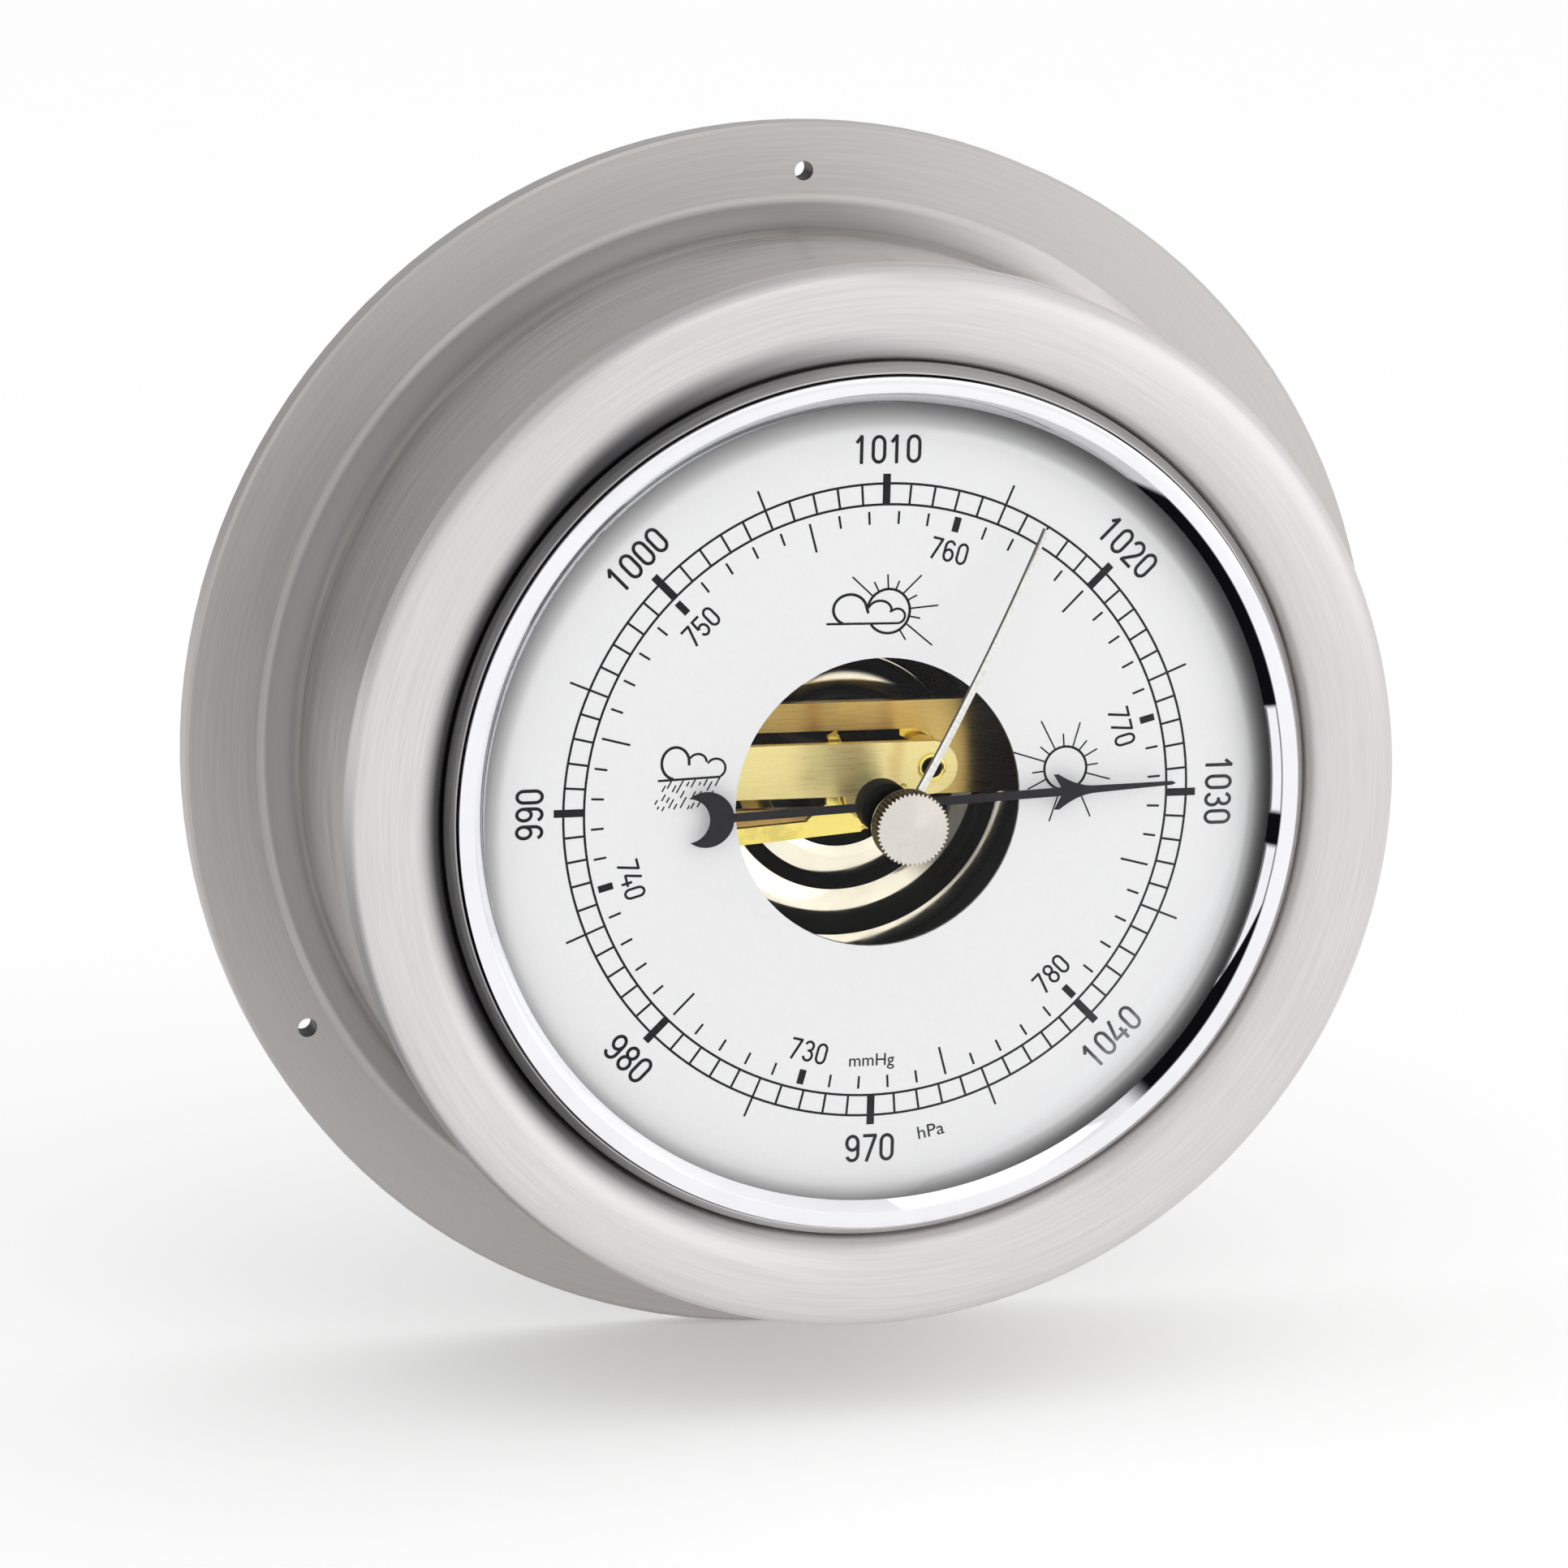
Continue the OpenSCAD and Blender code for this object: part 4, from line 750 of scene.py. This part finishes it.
def lacquer(name, colour, roughness, shine=0.15):
    """Lacquer, rubber or ink with a fine orange-peel grain."""
    f = Finish(name, Specular_IOR_Level=shine)
    skin = f.noise(4000.0)
    tone = f.blend(f.ramp(skin, 0.35, 0.65), colour, tinted(colour, 1.12))
    return f.ready(tone, f.ramp(skin, 0.3, 0.7, roughness * 0.85, roughness * 1.2), skin, 0.03, 0.000005)


def dial_ink(name, context):
    """Matt ink of the dial's print."""
    return lacquer(name, context.scene.barometer_dial.ink, 0.6, 0.05)


def dial_paint(look):
    """White dial, matt, with an even fine grain. Its back is bare and dark."""
    f = Finish("dial_paint", Specular_IOR_Level=0.3)
    grain, coat = f.noise(3000.0, 2.0), 0.2
    white = f.blend(f.ramp(grain, 0.3, 0.7), tinted(look.white, 0.985), look.white)
    behind = f.ramp(f.depth, -(DIAL_FACE - coat) * MM, -(DIAL_FACE - 2 * coat) * MM)
    return f.ready(f.blend(behind, white, (0.02, 0.018, 0.017)), 0.55, grain, 0.03)


def clear_glass():
    """Clear glass: it lets through what it doesn't mirror, and carries painted shade near its edge, which darkens
    the dial's rim.
    """
    f = Finish("clear_glass", Metallic=1.0)
    mirror = f.times(f.node("ShaderNodeFresnel", 1.45), 0.2)
    # Painted shade near the edge, stronger on the right and the upper left
    edge = f.ramp(f.radius, f.side(10, -0.5, 1.0, 44.7, 43.5), 47.8)
    shade = f.times(edge, f.plus(f.side(84, -0.2, 1.0, 0.1, 0.48), f.side(325, 0.2, 0.9, 0.0, 0.18)))
    f.set(
        Base_Color=f.blend(f.ramp(shade, 0.0, 0.12), (0.97, 0.98, 1.0), (0.01, 0.01, 0.012)),
        Alpha=f.most(mirror, shade),
        Roughness=f.ramp(f.noise(60.0, 2.0), 0.4, 0.8, 0.01, 0.03),
    )
    return f.material


# --- shapes


def bezel_profile():
    """The bezel from its outer foot over the crown to the valley, and back along its rear."""
    outer, rear, crest = span("front_bezel")
    barrel = span("case_shell")[2] + 0.02
    ring = span("chrome_ring")[0]
    bore, valley = ring + 0.2, ring + 1.45
    foot, ledge = -1.5, -1.6
    back, seat, skirt, wall = ledge - 1.6, 48.5, 59.6, 2
    mid, half, rise = (outer + valley) / 2, (outer - valley) / 2, crest - foot

    def crown(start, end, power, steps=26):
        """Points on a part of the crown. The power makes it squarer than an ellipse."""
        for i in range(steps + 1):
            a = radians(start + (end - start) * i / steps)
            out, up = abs(cos(a)) ** (2 / power), abs(sin(a)) ** (2 / power)
            yield mid + half * copysign(out, cos(a)), foot + rise * up

    lip = [
        (valley - 0.01, foot + 2.1), (valley - 0.06, foot + 2.25), (valley - 0.14, foot + 2.33),
        (bore + 0.24, foot + 3.72), (bore + 0.16, foot + 3.8), (bore + 0.05, foot + 3.8), (bore, foot + 3.72),
    ]
    rear_side = [
        (bore, ledge), (seat, ledge), (seat, back), (skirt - wall, back),
        (skirt - wall, rear), (skirt, rear), (skirt, barrel),
    ]
    return [(outer - 0.25, barrel), *crown(0, 90, 3.6), *list(crown(90, 180, 2.3))[1:], *lip, *rear_side]


def hand_blade():
    """A ridged blade that follows the glass, from a boss on the spindle to a fine tip."""
    turn = radians(90 - HAND_ANGLE)
    # The inside of the glass is a dome of this radius, and the blade's crown is this high
    dome, crown, ridge, thickness = 117.49 - 1.2, 10.9 - 0.35, 0.16, 0.22
    bm = bmesh.new()
    bmesh.ops.create_grid(bm, x_segments=28, y_segments=2, size=0.5)
    for vert in bm.verts:
        along, side = vert.co.x + 0.5, vert.co.y * 2
        x = HAND_START + (HAND_END - HAND_START) * along
        y = side * (HAND_ROOT + (HAND_TIP - HAND_ROOT) * along) / 2
        z = crown - (dome - sqrt(dome ** 2 - x ** 2)) - ridge * abs(side)
        vert.co = at(x * cos(turn) - y * sin(turn), x * sin(turn) + y * cos(turn), z)
    bmesh.ops.recalc_face_normals(bm, faces=bm.faces)
    bmesh.ops.solidify(bm, geom=bm.faces, thickness=thickness * MM)
    bore, boss, low, high = 1.02, 2.4, 10.1, 10.6
    return spun(rounded([(bore, low), (boss, low), (boss, high), (bore, high)], 0.06), 64, bm=bm)


def knurled():
    """A round blank with its knurl cut into the edge and a shallow cone turned on its face."""
    outer, rear, front = span("set_knob")
    teeth, cut_depth, cone = 48, 0.32, 0.3
    # Height of a ring of points, its share of the radius, and how deep the knurl is cut there
    levels = [
        (rear + 0.02, 0.90, 0.0), (rear + 0.05, 0.955, 0.25), (rear + 0.28, 1.0, 1.0),
        (front - 0.36, 1.0, 1.0), (front - cone, 0.99, 1.0), (front - cone, 0.9, 0.0),
    ]
    levels += [(front - cone * (size / 0.9), size, 0.0) for size in (0.75, 0.5, 0.25, 0.06)]

    def shape(verts, z, size, cut):
        for vert in verts:
            a = atan2(vert.co.z, vert.co.x)
            r = outer * size - cut_depth * cut * (0.5 - 0.5 * cos(teeth * a)) ** 1.5
            vert.co = at(r * cos(a), r * sin(a), z)

    bm = bmesh.new()
    lie = Matrix.Translation(at(0, 0, rear)) @ Matrix.Rotation(pi / 2, 4, "X")
    bmesh.ops.create_circle(bm, cap_ends=False, segments=teeth * 6, radius=outer * MM, matrix=lie)
    loop = bm.edges[:]
    shape(bm.verts[:], *levels[0])
    bmesh.ops.contextual_create(bm, geom=loop)
    for level in levels[1:]:
        grown = bmesh.ops.extrude_edge_only(bm, edges=loop)["geom"]
        loop = [g for g in grown if isinstance(g, bmesh.types.BMEdge) and g.is_boundary]
        shape({v for e in loop for v in e.verts}, *level)
    bmesh.ops.contextual_create(bm, geom=loop)
    tidy(bm)
    return bm


def capsule_profile():
    """The skin from its middle over its waves to its rim, and back underneath."""
    outer, rim, crest = span("capsule_front")
    wall, flat, steps = 0.3, 0.9, 12
    edge = outer - flat
    # Radius and slope. Between two of them the slope changes evenly
    slopes = [
        (0.0, 0.0), (4.9, 0.0), (5.1, -0.42), (9.05, -0.35), (9.1, 0.3), (10.7, 0.07), (12.5, -0.05),
        (12.7, -0.42), (14.3, -0.45), (14.35, -0.12), (14.5, 0.03), (14.55, 0.42), (17.0, 0.12),
        (18.2, 0.0), (18.5, -0.1), (18.6, -0.3), (20.0, -0.3), (20.05, 0.3), (edge, 0.25),
    ]
    top, z = [(0.0, crest)], crest
    for (r0, s0), (r1, s1) in zip(slopes, slopes[1:]):
        for i in range(steps):
            z += (s0 + (s1 - s0) * (i + 0.5) / steps) * (r1 - r0) / steps
            top.append((r0 + (r1 - r0) * (i + 1) / steps, z))
    seam = [(edge + 0.25, rim + wall), (outer, rim + wall), (outer, rim), (edge - 0.1, rim)]
    return top + seam + [(r, z - wall) for r, z in reversed(top)]


def rivet():
    """A tube with a flange behind and a rolled lip in front."""
    middle = sum(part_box("tubular_rivet"), Vector((0, 0, 0))) / 2 / MM
    rear, front = heights("tubular_rivet")
    bore, tube, flange, thick = 1.15, 1.4, 1.75, 0.25
    corners = [
        (bore, rear), (flange, rear), (flange, rear + thick), (tube, rear + thick), (tube, front - thick),
        (flange, front - thick), (flange - 0.09, front - 0.04), (tube, front), (bore + 0.05, front - 0.12),
    ]
    return spun(rounded(corners, 0.05), 72, centre=(middle.x, middle.z))


def hairspring():
    """Flat spiral of blue strip between the collet and the stud."""
    depth = sum(heights("hairspring")) / 2
    turns, inner, outer, phase = 4, 1.05, 3.6, radians(14)
    steps = 72 * turns
    half_w, half_h = 0.045, 0.15
    corners = [(-half_w, -half_h), (half_w, -half_h), (half_w, half_h), (-half_w, half_h)]

    def ring(i):
        t = i / steps
        a, r = 2 * pi * turns * t + phase, inner + (outer - inner) * t
        return [at((r + u) * cos(a), (r + u) * sin(a), depth + v) for u, v in corners]

    bm = bmesh.new()
    front = bm.faces.new([bm.verts.new(p) for p in ring(0)])
    for i in range(1, steps + 1):
        grown = bmesh.ops.extrude_face_region(bm, geom=[front], use_keep_orig=(i == 1))["geom"]
        front = next(g for g in grown if isinstance(g, bmesh.types.BMFace))
        before = ring(i - 1)
        for corner, point in enumerate(ring(i)):
            vert = min(front.verts, key=lambda v: (v.co - before[corner]).length)
            vert.co = point
    tidy(bm)
    return bm


# --- pieces


class BAROMETER_OT_case(Operator):
    """Brushes the case: flange, fillet and barrel"""

    bl_idname = "barometer.case"
    bl_label = "Case"

    def execute(self, context):
        look = context.scene.barometer_steel
        steel = brushed_steel("case_steel", look.case_colour, look.roughness, look.stroke, case_shade)
        finish(steel, "case_shell")
        return {"FINISHED"}


class BAROMETER_OT_bezel(Operator):
    """Spins the rounded front bezel with its valley, lip, ledge and skirt"""

    bl_idname = "barometer.bezel"
    bl_label = "Bezel"

    def execute(self, context):
        look = context.scene.barometer_steel
        steel = brushed_steel("bezel_steel", look.bezel_colour, look.roughness * 0.95, look.stroke, bezel_shade)
        piece("bezel_turned", spun(bezel_profile(), 288), steel, "case", "front_bezel", 50)
        return {"FINISHED"}


class BAROMETER_OT_mirror_ring(Operator):
    """Spins the polished ring with its flat face and inner bevel"""

    bl_idname = "barometer.mirror_ring"
    bl_label = "Polished ring"

    def execute(self, context):
        outer, rear, crest = span("chrome_ring")
        flat, view, drop, wall = outer - 1.8, outer - 3.1, 1.0, 0.7
        under = crest - drop - 0.05
        corners = [
            (view, under), (view, crest - drop), (flat, crest), (outer, crest),
            (outer, rear), (outer - wall, rear), (outer - wall, under),
        ]
        ring = spun(rounded(corners, 0.09), 288)
        piece("polished_ring", ring, chrome(), "case", "chrome_ring", 60)
        return {"FINISHED"}


class BAROMETER_OT_glass(Operator):
    """Finishes the domed glass, its seal and the bush of the spindle"""

    bl_idname = "barometer.glass"
    bl_label = "Glass"

    def execute(self, context):
        finish(clear_glass(), "glass")
        finish(lacquer("seal_rubber", (0.02, 0.02, 0.02), 0.6), "glass_seal")
        finish(polished("bush_nickel", (0.6, 0.58, 0.54), 0.15, 0.1), "glass_bush")
        return {"FINISHED"}


class BAROMETER_OT_dial(Operator):
    """Paints the dial and prints its two scales"""

    bl_idname = "barometer.dial"
    bl_label = "Dial and scales"

    def execute(self, context):
        look = context.scene.barometer_dial
        finish(dial_paint(look), "dial")
        ink = dial_ink("dial_ink", context)
        r, inner = look.scale_radius / MM, 0.935
        circles = [([clock(c * r, a) for a in range(0, 361, 2)], 0.28) for c in (1.0, inner)]
        marks = ticks(r, 0.0, 80, (inner, 1.03, 0.92), (inner, 1.066, 0.26), (inner, 1.0, 0.27))
        printed("pressure_scale", circles + marks, ink)
        marks = ticks(r, MERCURY, 60, (0.872, 0.919, 0.84), (0.82, 0.912, 0.26), (0.874, 0.914, 0.26))
        printed("mercury_scale", marks, ink)
        return {"FINISHED"}


class BAROMETER_OT_numbers(Operator):
    """Prints the numbers and the units on the dial"""

    bl_idname = "barometer.numbers"
    bl_label = "Numbers"

    def execute(self, context):
        look = context.scene.barometer_dial
        ink = dial_ink("number_ink", context)
        r, tall, small = look.scale_radius / MM, look.digit / MM, look.small_digit / MM
        pressure, mercury = [], []
        for i, value in enumerate(range(970, 1050, 10)):
            pressure += number(value, 1.106 * r, 180 + 45 * i, tall, 0.4)
        for i, value in enumerate(range(730, 790, 10)):
            mercury += number(value, 0.811 * r, 180 + MERCURY + 60 * i, small, 0.3)
        printed("pressure_numbers", pressure, ink)
        printed("mercury_numbers", mercury, ink)
        printed_word("mercury_unit", "mmHg", ink, clock(0.828 * r, 180.0), 0.0, 5.5, 1.95)
        printed_word("pressure_unit", "hPa", ink, clock(1.077 * r, 169.4), 10.6, 3.25, 1.55)
        return {"FINISHED"}


class BAROMETER_OT_weather(Operator):
    """Prints the three weather signs: rain, change and fair"""

    bl_idname = "barometer.weather"
    bl_label = "Weather signs"

    def execute(self, context):
        ink = dial_ink("sign_ink", context)
        printed("sign_change", change_sign(), ink)
        printed("sign_rain", rain_sign(), ink)
        printed("sign_fair", fair_sign(), ink)
        return {"FINISHED"}


class BAROMETER_OT_pointer(Operator):
    """Rounds the black pointer and turns its hub"""

    bl_idname = "barometer.pointer"
    bl_label = "Pointer"

    def execute(self, context):
        black = lacquer("pointer_black", (0.021, 0.02, 0.023), 0.45, 0.06)
        piece("pointer_blade", dressed("pointer", 0.05), black, "pointer_shaft", "pointer", 20)
        outer, rear, front = span("pointer_hub")
        bore, recess = 0.42, front - 0.3
        corners = [
            (bore, rear), (outer, rear), (outer, front - 0.35), (outer - 0.5, front),
            (1.5, front), (1.35, recess), (bore, recess),
        ]
        hub = spun(rounded(corners, 0.08), 96)
        black = lacquer("hub_black", (0.003, 0.003, 0.003), 0.5, 0.02)
        piece("hub_turned", hub, black, "pointer_shaft", "pointer_hub")
        return {"FINISHED"}


class BAROMETER_OT_set_hand(Operator):
    """Shapes the bent set hand and the knurled knob, and finishes the spindle"""

    bl_idname = "barometer.set_hand"
    bl_label = "Set hand and knob"

    def execute(self, context):
        piece("set_hand_bent", hand_blade(), hand_steel(), "set_pointer", "set_hand", 25)
        finish(polished("spindle_steel", (0.8, 0.79, 0.77), 0.12, 0.05), "set_spindle")
        piece("knurled_knob", knurled(), knob_steel(), "set_pointer", "set_knob", 30)
        return {"FINISHED"}


class BAROMETER_OT_plates(Operator):
    """Brushes the bridge plate and the front bar, forms their rivet and finishes their collar and small parts"""

    bl_idname = "barometer.plates"
    bl_label = "Bridge plate and bar"

    def execute(self, context):
        look = context.scene.barometer_movement
        # Soft brown bands of painted reflection on each plate: a place, a width and a strength
        dark = long_brushed("plate_brass", look.plate, 0.72, [(-5.0, 2.2, 0.5), (3.6, 1.6, 0.35)])
        bright = long_brushed("bar_brass", look.bar, 0.9, [(-2.4, 2.6, 0.3), (3.2, 1.5, 0.4)])
        turned = cut_brass("turned_brass", look.gear, 0.16)
        piece("bridge_plate_cut", dressed("bridge_plate", 0.18), dark, "case", "bridge_plate", 20)
        piece("front_bar_cut", dressed("front_bar", 0.07), bright, "case", "front_bar", 20)
        finish(turned, "bar_spacer", "bar_pillar", "bar_screw", "arbor_cock", "cock_screws", "hairspring_stud")
        piece("rolled_rivet", rivet(), turned, "case", "tubular_rivet")
        return {"FINISHED"}


class BAROMETER_OT_capsule(Operator):
    """Spins the corrugated front skin of the capsule and finishes its other pieces"""

    bl_idname = "barometer.capsule"
    bl_label = "Capsule"

    def execute(self, context):
        colour = context.scene.barometer_movement.capsule
        skin = spun(capsule_profile(), 160, closed=False)
        piece("capsule_skin", skin, skin_metal(colour), "case", "capsule_front")
        finish(polished("capsule_metal", colour, 0.07, 0.05), "capsule_rear", "capsule_post")
        return {"FINISHED"}


class BAROMETER_OT_gearing(Operator):
    """Finishes the toothed sector, the shafts and the levers, and winds the hairspring"""

    bl_idname = "barometer.gearing"
    bl_label = "Gearing"

    def execute(self, context):
        look = context.scene.barometer_movement
        gear = cut_brass("gear_brass", look.gear, 0.18)
        piece("sector_cut", dressed("sector_gear", 0.03, 50), gear, "sector", "sector_gear", 20)
        steel = polished("arbor_steel", (0.62, 0.6, 0.58), 0.15, 0.1)
        finish(steel, "sector_arbor", "tail_pin", "pinion_arbor", "rocking_shaft")
        for node in ("lever_arm", "fork_arm"):
            finish(cut_brass(node + "_brass", tinted(look.plate, 0.35), 0.25), node)
        blue = polished("spring_blue", (0.18, 0.24, 0.45), 0.18, 0.1)
        piece("hairspring_wound", hairspring(), blue, "pointer_shaft", "hairspring")
        return {"FINISHED"}


class BAROMETER_OT_inside(Operator):
    """Finishes the can, its clips and what the dial hides"""

    bl_idname = "barometer.inside"
    bl_label = "Inside and back"

    def execute(self, context):
        look = context.scene.barometer_movement
        finish(lacquer("can_black", (0.05, 0.05, 0.048), 0.6), "instrument_can")
        finish(lacquer("base_black", (0.075, 0.073, 0.068), 0.45, 0.5), "base_plate")
        finish(cut_brass("bracket_brass", tinted(look.plate, 0.3), 0.3), "shaft_brackets")
        for node in ("plate_posts", "bridge_pillars", "adjusting_screw"):
            finish(cut_brass(node + "_brass", look.bar, 0.22), node)
        for node in ("base_screws", "bridge_screws", "bracket_screws"):
            finish(cut_brass(node + "_brass", (0.8, 0.66, 0.4), 0.2), node)
        finish(polished("clip_steel", (0.6, 0.6, 0.6), 0.25, 0.1), "retaining_clips")
        finish(polished("clip_screw_steel", (0.7, 0.7, 0.68), 0.2, 0.1), "clip_screws")
        return {"FINISHED"}


# --- stage


class BAROMETER_OT_stage(Operator):
    """Sets the floor, the soft light and the camera"""

    bl_idname = "barometer.stage"
    bl_label = "Stage"

    def execute(self, context):
        look = context.scene.barometer_studio
        context.scene.view_settings.view_transform = "Standard"
        self.floor(look)
        self.sky(context)
        self.lamp("key_light", (0.9, -1.0, 0.35), 1.0, 1.1)
        self.lamp("top_light", (-0.1, -0.7, 1.3), 0.9, 1.0)
        self.camera(context, look)
        return {"FINISHED"}

    def floor(self, look):
        """Pale paper just under the object."""
        f = Finish("floor_paper", Specular_IOR_Level=0.1, Roughness=0.9)
        tone = f.blend(f.noise(40.0), tinted(look.floor, 0.99), look.floor)
        f.set(Base_Color=tone, Emission_Color=(1, 1, 1), Emission_Strength=0.2)
        under = Matrix.Translation((0, 0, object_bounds()[0].z - 0.2 * MM))
        bm = bmesh.new()
        bmesh.ops.create_circle(bm, cap_ends=True, segments=96, radius=6.0, matrix=under)
        made("floor", bm, f.material)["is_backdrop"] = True

    def sky(self, context):
        """A soft white room: brighter boards and a darker side round a pale grey."""
        world = bpy.data.worlds.new("studio")
        context.scene.world = world
        world.use_nodes = True
        f = Nodes(world.node_tree)
        way = f.vector("NORMALIZE", f.node("ShaderNodeTexCoord"))
        # Direction of a board, the angles at which it starts and is full, and the light that it adds
        boards = [
            ((0.27, -0.94, -0.2), 40, 12, 0.1), ((0.8, -0.55, 0.1), 45, 15, 0.12),
            ((-0.3, 0.1, 1.0), 60, 20, -0.2), ((-0.3, 1.0, 0.0), 75, 30, -0.45),
        ]
        total = 1.0
        for direction, start, full, light in boards:
            near = f.vector("DOT_PRODUCT", way, Vector(direction).normalized(), out=1)
            total = f.plus(total, f.ramp(near, cos(radians(start)), cos(radians(full)), 0.0, light))
        grey = f.node("ShaderNodeCombineXYZ", total, total, total)
        f.put(f.tree.nodes["Background"].inputs["Color"], grey)

    def lamp(self, name, place, size, power):
        """A square lamp that shines on the object."""
        light = bpy.data.lights.new(name, "AREA")
        light.size, light.energy = size, power
        obj = linked(name, light)
        obj.location = place
        obj.rotation_euler = (-Vector(place)).to_track_quat("-Z", "Y").to_euler()

    def camera(self, context, look):
        data = bpy.data.cameras.new("camera")
        data.lens, data.sensor_width = look.lens, 36.0
        data.clip_start, data.clip_end = 0.05, 30.0
        place, aim, up = (Vector(v) for v in (look.camera_place, look.camera_aim, look.camera_up))
        back = (place - aim).normalized()
        right = up.cross(back).normalized()
        turn = Matrix((right, back.cross(right), back)).transposed()
        context.scene.camera = linked("camera", data)
        context.scene.camera.matrix_world = Matrix.Translation(place) @ turn.to_4x4()


class BAROMETER_PT_panel(Panel):
    """Lists the barometer's sizes and pieces"""

    bl_idname = "BAROMETER_PT_panel"
    bl_label = "Porthole barometer"
    bl_space_type = "VIEW_3D"
    bl_region_type = "UI"
    bl_category = "Barometer"

    def draw(self, context):
        for group in LOOKS:
            look = getattr(context.scene, group)
            for name in look.__annotations__:
                self.layout.prop(look, name)
        for operator in OPERATORS:
            self.layout.operator(operator.bl_idname)


LOOKS = {
    "barometer_steel": SteelLook, "barometer_dial": DialLook,
    "barometer_movement": MovementLook, "barometer_studio": StudioLook,
}
OPERATORS = (
    BAROMETER_OT_case, BAROMETER_OT_bezel, BAROMETER_OT_mirror_ring, BAROMETER_OT_glass, BAROMETER_OT_dial,
    BAROMETER_OT_numbers, BAROMETER_OT_weather, BAROMETER_OT_pointer, BAROMETER_OT_set_hand,
    BAROMETER_OT_plates, BAROMETER_OT_capsule, BAROMETER_OT_gearing, BAROMETER_OT_inside, BAROMETER_OT_stage,
)
CLASSES = (*LOOKS.values(), *OPERATORS, BAROMETER_PT_panel)


def register():
    for item in CLASSES:
        bpy.utils.register_class(item)
    for name, group in LOOKS.items():
        setattr(bpy.types.Scene, name, PointerProperty(type=group))


def unregister():
    for name in LOOKS:
        delattr(bpy.types.Scene, name)
    for item in reversed(CLASSES):
        bpy.utils.unregister_class(item)


def main():
    register()
    for operator in OPERATORS:
        group, name = operator.bl_idname.split(".")
        getattr(getattr(bpy.ops, group), name)()


if __name__ == "__main__":
    main()
